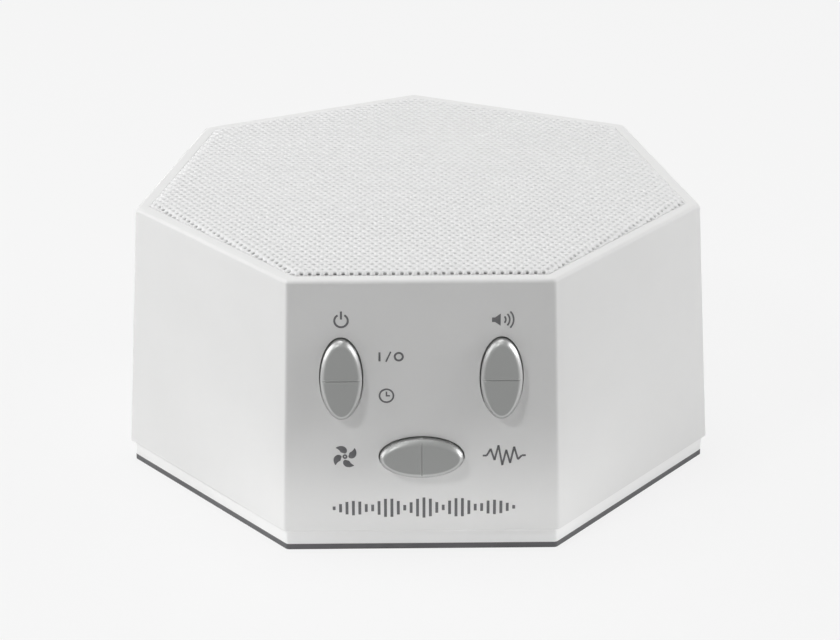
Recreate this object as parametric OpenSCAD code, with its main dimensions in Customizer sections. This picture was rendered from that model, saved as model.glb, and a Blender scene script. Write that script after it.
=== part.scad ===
// Tabletop sound machine with a seven-sided tapered housing, a perforated
// speaker grille on top and three rocker keys on the front face.
// Millimetres, +Z up, front face towards -Y. The origin is the middle of the
// seven-sided outline, on the surface that the machine stands on.

/* [Housing] */
// Radius through the corners of the top edge
top_r = 55; // [54.5:0.25:56]
// Radius through the corners of the housing's lower edge
low_r = 58; // [57.5:0.25:59]
// Height of the housing's flat rim
total_h = 52.5; // [52:0.5:58]
// Thickness of the housing's walls
wall = 2.2; // [2:0.1:2.5]
// Radius of the upright corners
corner_r = 0.9; // [0.5:0.1:1.4]
// Radius of the top edge
edge_r = 0.7; // [0.4:0.1:1]
// Width of the flat rim around the grille
rim_w = 2.2; // [2:0.1:2.6]
// Thickness of the deck that carries the grille and the speaker
deck_t = 2; // [1.6:0.1:2.4]
// Radius of the posts that take the screws
boss_r = 3.5; // [3:0.1:3.8]

/* [Base] */
// Height of the rubber foot ring
foot_h = 1.1; // [0.8:0.1:1.6]
// Width of the rubber foot ring
foot_w = 4.6; // [3.5:0.1:5]
// Height at which housing and base cover meet
seam_z = 4; // [3.8:0.1:4.6]
// Open shadow line between housing and base cover
seam_gap = 0.25; // [0.15:0.05:0.35]
// Step inwards from the housing to the base cover, at the corners
plinth_step = 0.9; // [0.5:0.1:1.3]
// Thickness of the base cover's floor
floor_t = 2; // [1.6:0.1:2.2]
// Height of the lip that locates the base cover in the housing
lip_h = 3; // [2:0.25:3.2]
// Thickness of that lip
lip_t = 1.6; // [1.2:0.1:2]
// Height at which the base posts meet the housing posts
post_z = 12; // [11.5:0.25:14]

/* [Grille] */
// Thickness of the grille's sheet
sheet_t = 0.8; // [0.6:0.1:1]
// Gap between the grille and the rim
grille_gap = 0.2; // [0.2:0.05:0.4]
// Width of the grille's sloping border
bevel_w = 1.05; // [0.9:0.05:1.4]
// Drop of the grille's sloping border
bevel_drop = 0.55; // [0.4:0.05:0.7]
// Height of the grille's flat top above the rim
grille_rise = 0.6; // [0.4:0.05:0.8]
// Depth of the recess inside the rim, down to the deck
recess_h = 4; // [3.6:0.1:4.4]
// Width of the tabs that hold the grille
tab_w = 5; // [4:0.5:7]

/* [Rockers] */
// Distance of the power and volume rockers from the middle
rocker_x = 14.4; // [14:0.1:14.8]
// Distance of the power and volume rockers below the top edge
rocker_down = 18.5; // [18.2:0.1:18.8]
// Distance of the sound rocker below the top edge
sound_down = 33.8; // [33.5:0.1:34.2]
// Length of a rocker's cap
rocker_l = 15.2; // [14.6:0.1:15.8]
// Width of a rocker's cap
rocker_w = 7.5; // [7.1:0.1:7.9]
// Height of a rocker above the front face
rocker_rise = 2; // [1.7:0.1:2.3]
// Depth of the dip in the middle of a rocker
rocker_dip = 0.3; // [0.2:0.1:0.5]
// Width of the round shoulder of a rocker
shoulder_w = 2.2; // [1.8:0.1:2.6]
// Height of the round shoulder of a rocker
shoulder_h = 1.3; // [1:0.1:1.5]
// Gap between a rocker and the window it sits in
rocker_gap = 0.25; // [0.22:0.01:0.3]
// Angle that a rocker tips each way
rocker_tilt = 3; // [2:0.25:3]
// Radius of a rocker's pivot pins
pivot_r = 0.9; // [0.7:0.1:1]
// Radial clearance of the pivot pins
pivot_clear = 0.05; // [0.03:0.01:0.1]

/* [Speaker] */
// Outer radius of the speaker
speaker_r = 38.5; // [37:0.5:39]
// Distance of the speaker behind the middle
speaker_y = 3; // [2.5:0.5:3.5]
// Thickness of the foam ring under the deck
gasket_t = 0.8; // [0.6:0.1:1]
// Depth of the speaker's cone
cone_h = 12.5; // [11:0.5:13]
// Way that the cone moves in and out
cone_travel = 1.5; // [1:0.1:1.5]
// Radius of the voice coil's tube
coil_r = 10; // [9.5:0.25:10.5]
// Radius of the magnet
magnet_r = 27.5; // [26:0.5:28]
// Thickness of the magnet
magnet_t = 8; // [7:0.5:8.5]

/* [Electronics] */
// Thickness of the circuit boards
board_t = 1.6; // [1:0.1:1.6]
// Height of the main board's underside
board_z = 7.5; // [7.25:0.25:8]
// Inner radius of the power socket
power_r = 3.1; // [2.8:0.1:3.2]
// Radius of the power socket's pin
power_pin_r = 1.05; // [0.8:0.05:1.25]
// Inner radius of the audio jack
jack_r = 1.8; // [1.75:0.05:1.9]
// Radius of the screws' shanks
screw_r = 1.25; // [1:0.05:1.4]

/* [Hidden] */

// Outline with seven sides. Side 0 faces the front and a corner faces the back.
sides = 7;
side_angle = 360 / sides;
apo = cos(180 / sides);
rear_right = 3;
rear_left = 4;
arc_steps = 4;
fine = 96;
round_fn = 32;
eps = 0.01;
cut = 1;

function side_dir(k) = -90 + k * side_angle;
function housing_r(z) = low_r + (top_r - low_r) * (z - seam_z) / (total_h - seam_z);
// Distance of the housing's inner faces from the middle, and the least one between two heights
function inside_apo(z) = housing_r(z) * apo - wall;
function least_inside(z0, z1) = min(inside_apo(z0), inside_apo(z1));
function outline(r, c) = [
    for (k = [0 : sides - 1])
        for (j = [0 : arc_steps])
            let(
                corner = 90 + k * side_angle,
                a = corner + (j / arc_steps - 0.5) * side_angle,
                middle = r - c / apo
            )
            [middle * cos(corner) + c * cos(a), middle * sin(corner) + c * sin(a)]
];
function ellipse(rx, ry) = [
    for (j = [0 : 47])
        let(a = j * 7.5)
        [rx * cos(a), ry * sin(a)]
];

// Front face: its own frame has X to the right, Y up along the face, Z outwards
top_apo = top_r * apo;
low_apo = low_r * apo;
draft = atan((low_apo - top_apo) / (total_h - seam_z));
inner_wall = -wall * cos(draft);

// Housing
deck_top = total_h - recess_h;
deck_low = deck_top - deck_t;
rim_apo = top_apo - rim_w;
inner_step = wall / apo;
boss_room = 1.6;
boss_n = least_inside(seam_z, deck_low) - boss_r - boss_room;
screw_clear = 0.05;
pilot_r = screw_r + screw_clear;
hole_r = screw_r + 0.35;
head_r = screw_r * 2.1;
head_t = 1.8;
head_room = 0.4;

// Base
plinth_r = low_r - plinth_step;
plinth_top = seam_z - seam_gap;
floor_top = foot_h + floor_t;
lip_clear = 0.2;
lip_apo = least_inside(seam_z, seam_z + lip_h) - lip_clear;
seat_t = 3;
housing_screw_l = 14;

// Grille
grille_apo = rim_apo - grille_gap;
slot_clear = 0.2;
tab_n = grille_apo - sheet_t;
speaker_reach = speaker_r + speaker_y * sin(side_dir(rear_right));
tab_fold = 0.6 * (tab_n - speaker_reach);
tab_step = 0.1;
tab_root = 0.5;
tab_low = deck_low - sheet_t - slot_clear;

// Speaker stack, from the deck down
open_r = speaker_r - 4;
frame_top = deck_low - gasket_t;
frame_t = 1.2;
frame_in_r = speaker_r - 7.5;
surround_t = 0.4;
roll_r = 2.6;
roll_mid = frame_in_r - roll_r;
cone_r = roll_mid - roll_r;
cone_t = 0.5;
cone_neck_z = frame_top - cone_h;
coil_t = 0.25;
coil_wind = 0.25;
gap_clear = 0.35;
plate_t = 3;
winding_h = plate_t + 2 * cone_travel;
plate_gap_r = coil_r + coil_t + coil_wind + gap_clear;
pole_r = coil_r - gap_clear;
spider_drop = 1.6;
spider_z = cone_neck_z - spider_drop;
spider_r = 20;
spider_t = 0.4;
basket_t = 1;
yoke_t = 3.5;
// What is left over the main board is shared by the basket and the air below the yoke
spare_h = spider_z - plate_t - magnet_t - yoke_t - board_z - board_t;
basket_drop = 1.6 + 0.3 * spare_h;
basket_low = spider_z - basket_drop;
plate_low = basket_low - plate_t;
magnet_low = plate_low - magnet_t;
yoke_r = magnet_r - 2.5;
yoke_low = magnet_low - yoke_t;
winding_z = plate_low + plate_t / 2 - winding_h / 2;
stud_r = pilot_r + 0.9;
stud_bite = 1;
speaker_screw_r = speaker_r + stud_r + 0.2;
ear_r = 3;
speaker_screw_n = 4;

// Rockers, by depth behind the front face
flange_w = 1;
flange_t = 1;
tip = (rocker_l / 2 + flange_w) * sin(rocker_tilt);
flange_clear = 0.14;
flange_out = inner_wall - tip - flange_clear;
pivot_z = flange_out - flange_t / 2;
flange_in = flange_out - flange_t;
cheek_gap = 0.35;
cheek_t = 1.5;
cheek_x = rocker_w / 2 + flange_w + cheek_gap;
cheek_half = 1.9;
tip_room = 1.4;
plate_out = flange_in - tip_room;
carrier_t = 1.4;
plate_in = plate_out - carrier_t;
leg_r = 1.2;
leg_y = 5.6;
leg_end = plate_in - 1;
dome_gap = 0.1;
dome_h = 1.5;
dome_r = 2.2;
web_out = leg_end - dome_gap - dome_h;
web_t = 0.8;
board_out = web_out - web_t;
board_in = board_out - board_t;
control_w = 2 * (rocker_x + cheek_x + cheek_t);
control_top = 6.8;
control_low = 41.5;
web_top = 10;
// The board's screws, two above and two closer together below
CONTROL_SCREWS = [for (side = [-1, 1])
    each [[side * (control_w / 2 - 2), -control_top - 2.4],
        [side * (control_w / 2 - 5), 2.9 - control_low]]];
spacer_r = 2.2;
panel_boss_r = 2.2;
wall_stop = 0.1;

// Main posts: the side that each stands at and its place along it. The front ones clear the board.
post_room = 0.6;
post_x = control_w / 2 + boss_r + post_room;
front_post = (boss_n * sin(side_angle) - post_x) / cos(side_angle);
rear_post = 20;
POSTS = [[1, -front_post], [6, front_post], [2, rear_post], [5, -rear_post]];

// Main board
board_top = board_z + board_t;
board_clear = 1.4;
board_front = -31;
BOARD_SCREWS = [[-30, 0], [30, 0], [0, 46]];
standoff_r = 2.6;
board_bite = 3.5;
wall_clear = 0.35;
socket_z = board_top + 4.4;
socket_w = 9;
socket_l = 12.5;
socket_back = 2;
pin_short = 1.5;
socket_face = least_inside(board_top, socket_z + socket_w / 2) - wall_clear;
jack_w = 7;
jack_h = 6;
jack_l = 11;
jack_z = board_top + jack_h / 2;
jack_nose_r = 3;
jack_face = housing_r(jack_z) * apo - 0.2;
jack_depth = 14;
jack_body = least_inside(board_top, board_top + jack_h) - wall_clear;
plug_room_r = 4.6;
capacitor_r = 4;
capacitor_h = 9;
capacitor_x = 7;
capacitor_y = speaker_y + magnet_r + capacitor_r + 3;
// The chips stand beside the speaker's yoke
chip_room = 6.5;
// Width, length and height of the chips' cases
LARGE_CHIP = [10, 10, 1.4];
SMALL_CHIP = [4, 5, 1.5];
chip_y = 18;
memory_x = yoke_r + chip_room - (LARGE_CHIP[0] - SMALL_CHIP[0]) / 2;
memory_y = 6.3;
pin_pitch = 1.27;
pin_w = 0.4;
pin_l = 1.2;
ribbon_w = 12;
ribbon_t = 0.6;
ribbon_bow = 4;
ribbon_side = 1;
ribbon_down = control_low - 5;
ribbon_face = board_in - 3;
ribbon_y = -top_apo - ribbon_down * sin(draft) - ribbon_face * cos(draft) + 0.2;
ribbon_z = total_h - ribbon_down * cos(draft) + ribbon_face * sin(draft);
plug_l = 4;
plug_h = 4;
main_plug_y = board_front + plug_l / 2 + 1;
terminal_out = 4.3;
terminal_x = -frame_in_r - terminal_out;
terminal_z = frame_top - frame_t - 4;
// The speaker's lead: steps outwards and backwards, and shares of the way down
LEAD_STEPS = [[0, 0, 0], [1.7, 0, 0.03], [3.3, 0.3, 0.16], [4.1, 1, 0.38],
    [4.1, 2, 0.6], [3.5, 3, 0.78], [2.7, 3.6, 0.91], [2.7, 3.8, 1]];
lead_drop = terminal_z - board_top - plug_h + 0.2;
LEAD = [for (p = LEAD_STEPS)
    [terminal_x - p[0], speaker_y + p[1], terminal_z - p[2] * lead_drop]];
lead_r = 0.55;
lead_pitch = 1.5;
lead_plug_w = 4.8;
lead_plug_l = 6.8;

// Frames and shared shapes

module at_side(k) {
    rotate([0, 0, side_dir(k)]) children();
}

module on_front() {
    translate([0, -top_apo, total_h]) rotate([90 - draft, 0, 0]) children();
}

module at_rocker(x, down, turn) {
    on_front() translate([x, -down, 0]) rotate([0, 0, turn]) children();
}

module at_each_rocker() {
    at_rocker(-rocker_x, rocker_down, 0) children();
    at_rocker(rocker_x, rocker_down, 0) children();
    at_rocker(0, sound_down, 90) children();
}

module at_speaker() {
    translate([0, speaker_y, 0]) children();
}

module at_speaker_screws() {
    for (k = [0 : speaker_screw_n - 1])
        at_speaker() rotate([0, 0, 45 + k * 360 / speaker_screw_n])
            translate([speaker_screw_r, 0, 0]) children();
}

module at_posts() {
    for (p = POSTS)
        at_side(p[0]) translate([boss_n, p[1], 0]) children();
}

module slab(r, c, z, h) {
    translate([0, 0, z]) linear_extrude(h) polygon(outline(r, c));
}

module ring(outer, inner, z, h) {
    translate([0, 0, z]) difference() {
        cylinder(r = outer, h = h, $fn = fine);
        translate([0, 0, -cut]) cylinder(r = inner, h = h + 2 * cut, $fn = fine);
    }
}

module screw(r, l) {
    // Head upwards from z = 0, shank downwards
    difference() {
        cylinder(r = head_r, h = head_t, $fn = round_fn);
        translate([-head_r, -0.3, head_t - 0.6]) cube([2 * head_r, 0.6, 1]);
        translate([-0.3, -head_r, head_t - 0.6]) cube([0.6, 2 * head_r, 1]);
    }
    translate([0, 0, -l]) cylinder(r = r, h = l + eps, $fn = round_fn);
}

module rod(points, r, n) {
    // Tube with n sides along a list of points
    last = len(points) - 1;
    function along(i) = let(
        d = points[min(i + 1, last)] - points[max(i - 1, 0)]
    ) d / norm(d);
    function across(i) = let(c = cross(along(i), [0, 1, 0.2])) c / norm(c);
    skin = [
        for (i = [0 : last])
            for (j = [0 : n - 1])
                let(u = across(i), v = cross(along(i), u), a = j * 360 / n)
                points[i] + r * (u * cos(a) + v * sin(a))
    ];
    walls = [
        for (i = [0 : last - 1])
            for (j = [0 : n - 1])
                [i * n + j, (i + 1) * n + j,
                 (i + 1) * n + (j + 1) % n, i * n + (j + 1) % n]
    ];
    first_cap = [for (j = [0 : n - 1]) j];
    last_cap = [for (j = [n - 1 : -1 : 0]) last * n + j];
    polyhedron(skin, concat([first_cap], walls, [last_cap]));
}

// Housing

module housing_outside() {
    hull() {
        slab(low_r, corner_r, seam_z, eps);
        for (j = [0 : 3])
            let(a = j * 30, z = total_h - edge_r + edge_r * sin(a) - eps)
            slab(housing_r(z) - edge_r * (1 - cos(a)), corner_r, z, eps);
    }
}

module housing_cavity() {
    hull() {
        slab(housing_r(seam_z - cut) - inner_step, corner_r, seam_z - cut, eps);
        slab(housing_r(deck_low) - inner_step, corner_r, deck_low - eps, eps);
    }
}

module housing() {
    color("whitesmoke") {
        difference() {
            housing_outside();
            housing_cavity();
            slab(rim_apo / apo, corner_r, deck_top, recess_h + cut);
            at_speaker() translate([0, 0, deck_low - cut])
                cylinder(r = open_r, h = deck_t + 2 * cut, $fn = fine);
            tab_slots();
            rocker_windows();
            rear_openings();
            at_speaker_screws() translate([0, 0, deck_low - cut])
                cylinder(r = pilot_r, h = cut + stud_bite + 0.3, $fn = round_fn);
            panel_bores(inner_wall - wall_stop);
        }
        posts_with_bores();
        speaker_posts();
        panel_posts();
    }
}

module tab_slots() {
    slot_w = tab_w + 2 * slot_clear;
    slot_t = sheet_t + 2 * slot_clear;
    for (k = [1 : sides - 1])
        at_side(k)
            translate([tab_n - slot_clear, -slot_w / 2, deck_low - cut])
                cube([slot_t, slot_w, deck_t + 2 * cut]);
}

module rocker_windows() {
    at_each_rocker()
        translate([0, 0, inner_wall - cut])
            linear_extrude(wall + 2 * cut)
                polygon(ellipse(rocker_w / 2 + rocker_gap, rocker_l / 2 + rocker_gap));
}

module rear_openings() {
    at_side(rear_right) rear_bore(plug_room_r, socket_z);
    at_side(rear_left) rear_bore(jack_nose_r + slot_clear, jack_z);
}

module rear_bore(r, z) {
    // Reaches past both faces of a wall that leans either way
    from = least_inside(seam_z, deck_low) - cut;
    translate([from, 0, z]) rotate([0, 90, 0])
        cylinder(r = r, h = max(top_apo, low_apo) - from + cut, $fn = round_fn);
}

module posts_with_bores() {
    at_posts() difference() {
        translate([0, 0, post_z])
            cylinder(r = boss_r, h = deck_low - post_z + eps, $fn = round_fn);
        translate([0, 0, post_z - cut])
            cylinder(r = pilot_r, h = housing_screw_l + cut, $fn = round_fn);
    }
}

module speaker_posts() {
    // Short threaded studs that hang from the deck outside the foam ring
    at_speaker_screws() difference() {
        translate([0, 0, frame_top])
            cylinder(r = stud_r, h = deck_low - frame_top + eps, $fn = round_fn);
        translate([0, 0, frame_top - cut])
            cylinder(r = pilot_r, h = gasket_t + 2 * cut, $fn = round_fn);
    }
}

module panel_posts() {
    difference() {
        on_front() for (p = CONTROL_SCREWS)
            translate([p[0], p[1], plate_out])
                cylinder(r = panel_boss_r, h = inner_wall - plate_out + eps, $fn = round_fn);
        panel_bores(inner_wall + 1);
    }
}

module panel_bores(end) {
    on_front() for (p = CONTROL_SCREWS)
        translate([p[0], p[1], plate_out - cut])
            cylinder(r = pilot_r, h = end - plate_out + cut, $fn = round_fn);
}

// Grille

module grille_shell() {
    // Rings of corners, [radius, height]: down the outer skin, then up the inner one
    edge = grille_apo / apo;
    inner = edge - sheet_t / apo;
    field = (grille_apo - bevel_w) / apo;
    high = total_h + grille_rise;
    rings = [
        [field, high], [edge, high - bevel_drop], [edge, deck_top],
        [inner, deck_top], [inner, high - bevel_drop - sheet_t],
        [field - sheet_t / 2, high - sheet_t]
    ];
    last = len(rings) - 1;
    points = [
        for (q = rings)
            for (k = [0 : sides - 1])
                let(a = 90 + k * side_angle)
                [q[0] * cos(a), q[0] * sin(a), q[1]]
    ];
    skins = [
        for (i = [0 : last - 1])
            for (k = [0 : sides - 1])
                let(next = (k + 1) % sides)
                [i * sides + k, i * sides + next, (i + 1) * sides + next, (i + 1) * sides + k]
    ];
    field_face = [for (k = [sides - 1 : -1 : 0]) k];
    ceiling_face = [for (k = [0 : sides - 1]) last * sides + k];
    polyhedron(points, concat([field_face], skins, [ceiling_face]));
}

module grille() {
    color("gainsboro") {
        grille_shell();
        for (k = [1 : sides - 1])
            at_side(k) grille_tab();
    }
}

module grille_tab() {
    // Passes down through its slot and is folded inwards under the deck
    translate([tab_n + tab_step, -tab_w / 2, tab_low])
        cube([sheet_t - 2 * tab_step, tab_w, deck_top - tab_low + tab_root]);
    translate([tab_n - tab_fold, -tab_w / 2, tab_low])
        cube([tab_fold + 2 * tab_step, tab_w, sheet_t]);
}

// Base

module base_cover() {
    color("whitesmoke") difference() {
        union() {
            difference() {
                slab(plinth_r, corner_r, foot_h, plinth_top - foot_h);
                slab((lip_apo - lip_t) / apo, corner_r, floor_top, seam_z);
            }
            difference() {
                slab(lip_apo / apo, corner_r, floor_top, seam_z + lip_h - floor_top);
                slab((lip_apo - lip_t) / apo, corner_r, floor_top - cut, lip_h + 2 * seam_z);
                // The lip leaves out the front, where the controls hang
                translate([-control_w / 2 - lip_clear, -low_r, plinth_top])
                    cube([control_w + 2 * lip_clear, low_r, lip_h + seam_z]);
            }
            at_posts() translate([0, 0, foot_h])
                cylinder(r = head_r + head_room + 1.1, h = post_z - foot_h, $fn = round_fn);
            board_standoffs();
        }
        at_posts() {
            translate([0, 0, foot_h - cut])
                cylinder(r = head_r + head_room, h = post_z - seat_t - foot_h + cut,
                    $fn = round_fn);
            translate([0, 0, foot_h])
                cylinder(r = hole_r, h = post_z, $fn = round_fn);
        }
        for (p = BOARD_SCREWS)
            translate([p[0], p[1], floor_top])
                cylinder(r = pilot_r, h = board_z, $fn = round_fn);
    }
}

module board_standoffs() {
    for (p = BOARD_SCREWS)
        translate([p[0], p[1], foot_h])
            cylinder(r = standoff_r, h = board_z - foot_h, $fn = round_fn);
}

module foot_ring() {
    color("dimgray") difference() {
        slab(plinth_r, corner_r, 0, foot_h);
        slab(plinth_r - foot_w / apo, corner_r, -cut, foot_h + 2 * cut);
    }
}

module housing_screws() {
    color("silver") at_posts()
        translate([0, 0, post_z - seat_t]) mirror([0, 0, 1])
            screw(screw_r, seat_t + housing_screw_l - 2);
}

// Speaker

module speaker_gasket() {
    color("dimgray") at_speaker() ring(speaker_r, open_r, frame_top, gasket_t);
}

module speaker_frame() {
    low = frame_top - frame_t;
    color("darkgray") difference() {
        union() {
            at_speaker() rotate_extrude($fn = fine) polygon([
                [speaker_r, frame_top], [frame_in_r, frame_top],
                [frame_in_r, low + 0.4], [spider_r + 2, spider_z + 0.4],
                [spider_r + 2, spider_z - spider_t], [spider_r - 1.6, spider_z - spider_t],
                [spider_r - 1.6, basket_low + basket_t],
                [plate_gap_r, basket_low + basket_t],
                [plate_gap_r, basket_low], [spider_r - 0.6, basket_low],
                [spider_r - 0.6, spider_z - spider_t - basket_t],
                [spider_r + 3, spider_z - spider_t - basket_t],
                [spider_r + 3, spider_z], [frame_in_r + 1, low], [speaker_r, low]
            ]);
            at_speaker_screws() translate([0, 0, low])
                cylinder(r = ear_r, h = frame_t, $fn = round_fn);
        }
        for (k = [0 : 5])
            at_speaker() rotate([0, 0, k * 60 + 30])
                translate([spider_r + 4, -6, spider_z + 2.5])
                    cube([speaker_r, 12, low - spider_z - 4]);
        at_speaker_screws() translate([0, 0, low - cut])
            cylinder(r = hole_r, h = frame_t + 2 * cut, $fn = round_fn);
    }
}

module speaker_surround() {
    z = frame_top;
    color("dimgray") at_speaker() rotate_extrude($fn = fine) polygon(concat(
        [[open_r - 0.4, z], [open_r - 0.4, z + surround_t]],
        [for (a = [0 : 15 : 180])
            [roll_mid + roll_r * cos(a), z + surround_t + roll_r * sin(a)]],
        [[cone_r - 2, z + surround_t], [cone_r - 2, z]],
        [for (a = [180 : -15 : 0])
            [roll_mid + (roll_r - surround_t) * cos(a), z + (roll_r - surround_t) * sin(a)]]
    ));
}

module speaker_cone() {
    z = frame_top;
    color("dimgray") at_speaker() rotate_extrude($fn = fine) polygon([
        [cone_r, z], [cone_r - 2.2, z], [coil_r + coil_t, cone_neck_z + cone_t],
        [coil_r + coil_t, cone_neck_z - cone_t], [cone_r - 2, z - 0.9],
        [cone_r, z - 0.9]
    ]);
}

module dust_cap() {
    cap_r = coil_r + 2;
    cap_h = 3.2;
    slope = (frame_top - cone_neck_z - cone_t) / (cone_r - 2.2 - coil_r - coil_t);
    ball_r = (cap_r * cap_r + cap_h * cap_h) / (2 * cap_h);
    open_angle = asin(cap_r / ball_r);
    inner_r = (ball_r - cone_t) * sin(open_angle);
    base_z = cone_neck_z + cone_t + (inner_r - coil_r - coil_t) * slope
        + cone_t * cos(open_angle) + 0.02;
    steps = 12;
    function bow(r, n) = [
        for (j = [0 : steps])
            let(a = open_angle * (n ? 1 - j / steps : j / steps))
            [r * sin(a), base_z + cap_h - ball_r + r * cos(a)]
    ];
    color("gray") at_speaker() rotate_extrude($fn = fine)
        polygon(concat(bow(ball_r, false), bow(ball_r - cone_t, true)));
}

module voice_coil() {
    color("chocolate") at_speaker() {
        ring(coil_r + coil_t, coil_r, winding_z, cone_neck_z + 1 - winding_z);
        ring(coil_r + coil_t + coil_wind, coil_r + coil_t - eps, winding_z, winding_h);
    }
}

module speaker_spider() {
    inner = coil_r + coil_t + 0.02;
    wave_end = spider_r - 2.4;
    waves = 3;
    steps = 30;
    rise = 0.6;
    function wave(z) = [
        for (j = [0 : steps])
            let(t = j / steps)
            [inner + (wave_end - inner) * t, z + rise * sin(360 * waves * t)]
    ];
    function reversed(p) = [for (j = [len(p) - 1 : -1 : 0]) p[j]];
    color("goldenrod") at_speaker() rotate_extrude($fn = fine)
        polygon(concat(wave(spider_z), [[spider_r + 1.9, spider_z]],
            [[spider_r + 1.9, spider_z - spider_t]], reversed(wave(spider_z - spider_t))));
}

module speaker_top_plate() {
    color("silver") at_speaker() ring(yoke_r, plate_gap_r, plate_low, plate_t);
}

module speaker_magnet() {
    color("dimgray") at_speaker() ring(magnet_r, plate_gap_r + 2, magnet_low, magnet_t);
}

module speaker_yoke() {
    color("silver") at_speaker() {
        translate([0, 0, yoke_low]) cylinder(r = yoke_r, h = yoke_t, $fn = fine);
        translate([0, 0, magnet_low - eps])
            cylinder(r = pole_r, h = magnet_t + plate_t + eps, $fn = fine);
    }
}

module speaker_terminals() {
    // Strip riveted to the basket's side, with two flat tags
    strip_h = 7;
    strip_w = 10;
    strip_t = 1.2;
    tag_w = 1;
    tag_h = 3;
    tag_x = terminal_x + 0.25;
    color("tan")
        translate([tag_x + tag_w - 0.1, speaker_y - strip_w / 2, frame_top - frame_t - strip_h])
            cube([strip_t, strip_w, strip_h]);
    color("gold") for (side = [-1, 1])
        translate([tag_x, speaker_y + side * lead_pitch - tag_w / 2, terminal_z - 1])
            cube([tag_w, tag_w, tag_h]);
}

module speaker_screws() {
    color("silver") at_speaker_screws()
        translate([0, 0, frame_top - frame_t]) mirror([0, 0, 1])
            screw(screw_r, frame_t + gasket_t + stud_bite);
}

// Rockers and what carries them

module rocker_cap() {
    // An oval whose shoulder is a quarter of an ellipse, with a shallow dip in its middle
    dip_angle = atan(rocker_dip / (rocker_l / 2));
    difference() {
        union() {
            hull() {
                translate([0, 0, flange_in])
                    linear_extrude(rocker_rise - shoulder_h - flange_in)
                        polygon(ellipse(rocker_w / 2, rocker_l / 2));
                for (a = [18 : 18 : 90])
                    let(inset = shoulder_w * (1 - cos(a)))
                    translate([0, 0, rocker_rise - shoulder_h * (1 - sin(a)) - eps])
                        linear_extrude(eps)
                            polygon(ellipse(rocker_w / 2 - inset, rocker_l / 2 - inset));
            }
            translate([0, 0, flange_in]) linear_extrude(flange_t)
                polygon(ellipse(rocker_w / 2 + flange_w, rocker_l / 2 + flange_w));
        }
        for (side = [0, 180])
            rotate([0, 0, side])
                translate([0, 0, rocker_rise - rocker_dip])
                    rotate([dip_angle, 0, 0])
                        translate([-rocker_w, -0.01, 0]) cube([2 * rocker_w, rocker_l, 4]);
    }
}

module rocker_body() {
    pin_end = cheek_x + cheek_t;
    rocker_cap();
    translate([-pin_end, 0, pivot_z]) rotate([0, 90, 0])
        cylinder(r = pivot_r, h = 2 * pin_end, $fn = round_fn);
    for (side = [-1, 1])
        translate([0, side * leg_y, leg_end])
            cylinder(r = leg_r, h = flange_in - leg_end + eps, $fn = round_fn);
}

module power_rocker() {
    color("darkgray") at_rocker(-rocker_x, rocker_down, 0) rocker_body();
}

module volume_rocker() {
    color("darkgray") at_rocker(rocker_x, rocker_down, 0) rocker_body();
}

module sound_rocker() {
    color("darkgray") at_rocker(0, sound_down, 90) rocker_body();
}

module rocker_carrier() {
    width = control_w;
    color("white") difference() {
        union() {
            on_front() translate([-width / 2, -control_low, plate_in])
                cube([width, control_low - control_top, carrier_t]);
            at_each_rocker() bearing_cheeks();
            on_front() for (p = CONTROL_SCREWS)
                translate([p[0], p[1], board_out])
                    cylinder(r = spacer_r, h = plate_in - board_out + eps, $fn = round_fn);
        }
        at_each_rocker() for (side = [-1, 1])
            translate([0, side * leg_y, plate_in - cut])
                cylinder(r = leg_r + 0.8, h = carrier_t + 2 * cut, $fn = round_fn);
        on_front() for (p = CONTROL_SCREWS)
            translate([p[0], p[1], board_out - cut])
                cylinder(r = hole_r, h = plate_out - board_out + 2 * cut, $fn = round_fn);
    }
}

module bearing_cheeks() {
    high = inner_wall - wall_stop;
    for (side = [-1, 1])
        difference() {
            translate([side * (cheek_x + cheek_t / 2) - cheek_t / 2, -cheek_half, plate_out - eps])
                cube([cheek_t, 2 * cheek_half, high - plate_out + eps]);
            translate([side * (cheek_x + cheek_t / 2) - cheek_t, 0, pivot_z]) rotate([0, 90, 0])
                cylinder(r = pivot_r + pivot_clear, h = 2 * cheek_t, $fn = round_fn);
        }
}

module keypad_web() {
    color("lightgray") on_front() difference() {
        translate([-control_w / 2, -control_low, board_out])
            cube([control_w, control_low - web_top, web_t]);
        for (p = CONTROL_SCREWS)
            translate([p[0], p[1], board_out - cut])
                cylinder(r = spacer_r + 0.3, h = web_t + 2 * cut, $fn = round_fn);
    }
}

module rocker_domes() {
    for (side = [-1, 1])
        translate([0, side * leg_y, web_out])
            cylinder(r1 = dome_r, r2 = leg_r, h = dome_h, $fn = round_fn);
}

module power_domes() {
    color("lightgray") at_rocker(-rocker_x, rocker_down, 0) rocker_domes();
}

module volume_domes() {
    color("lightgray") at_rocker(rocker_x, rocker_down, 0) rocker_domes();
}

module sound_domes() {
    color("lightgray") at_rocker(0, sound_down, 90) rocker_domes();
}

module control_board() {
    color("seagreen") on_front() difference() {
        translate([-control_w / 2, -control_low, board_in])
            cube([control_w, control_low - control_top, board_t]);
        for (p = CONTROL_SCREWS)
            translate([p[0], p[1], board_in - cut])
                cylinder(r = hole_r, h = board_t + 2 * cut, $fn = round_fn);
    }
}

module control_screws() {
    color("silver") on_front() for (p = CONTROL_SCREWS)
        translate([p[0], p[1], board_in]) mirror([0, 0, 1])
            screw(screw_r, inner_wall - board_in - 0.4);
}

// Electronics

module main_board() {
    color("seagreen") difference() {
        intersection() {
            slab((least_inside(board_z, board_top) - board_clear) / apo, corner_r,
                board_z, board_t);
            translate([-low_r, board_front, 0]) cube([2 * low_r, 2 * low_r, total_h]);
        }
        at_posts() cylinder(r = head_r + head_room + 1.7, h = total_h, $fn = round_fn);
        for (p = BOARD_SCREWS)
            translate([p[0], p[1], 0]) cylinder(r = hole_r, h = total_h, $fn = round_fn);
    }
}

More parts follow.
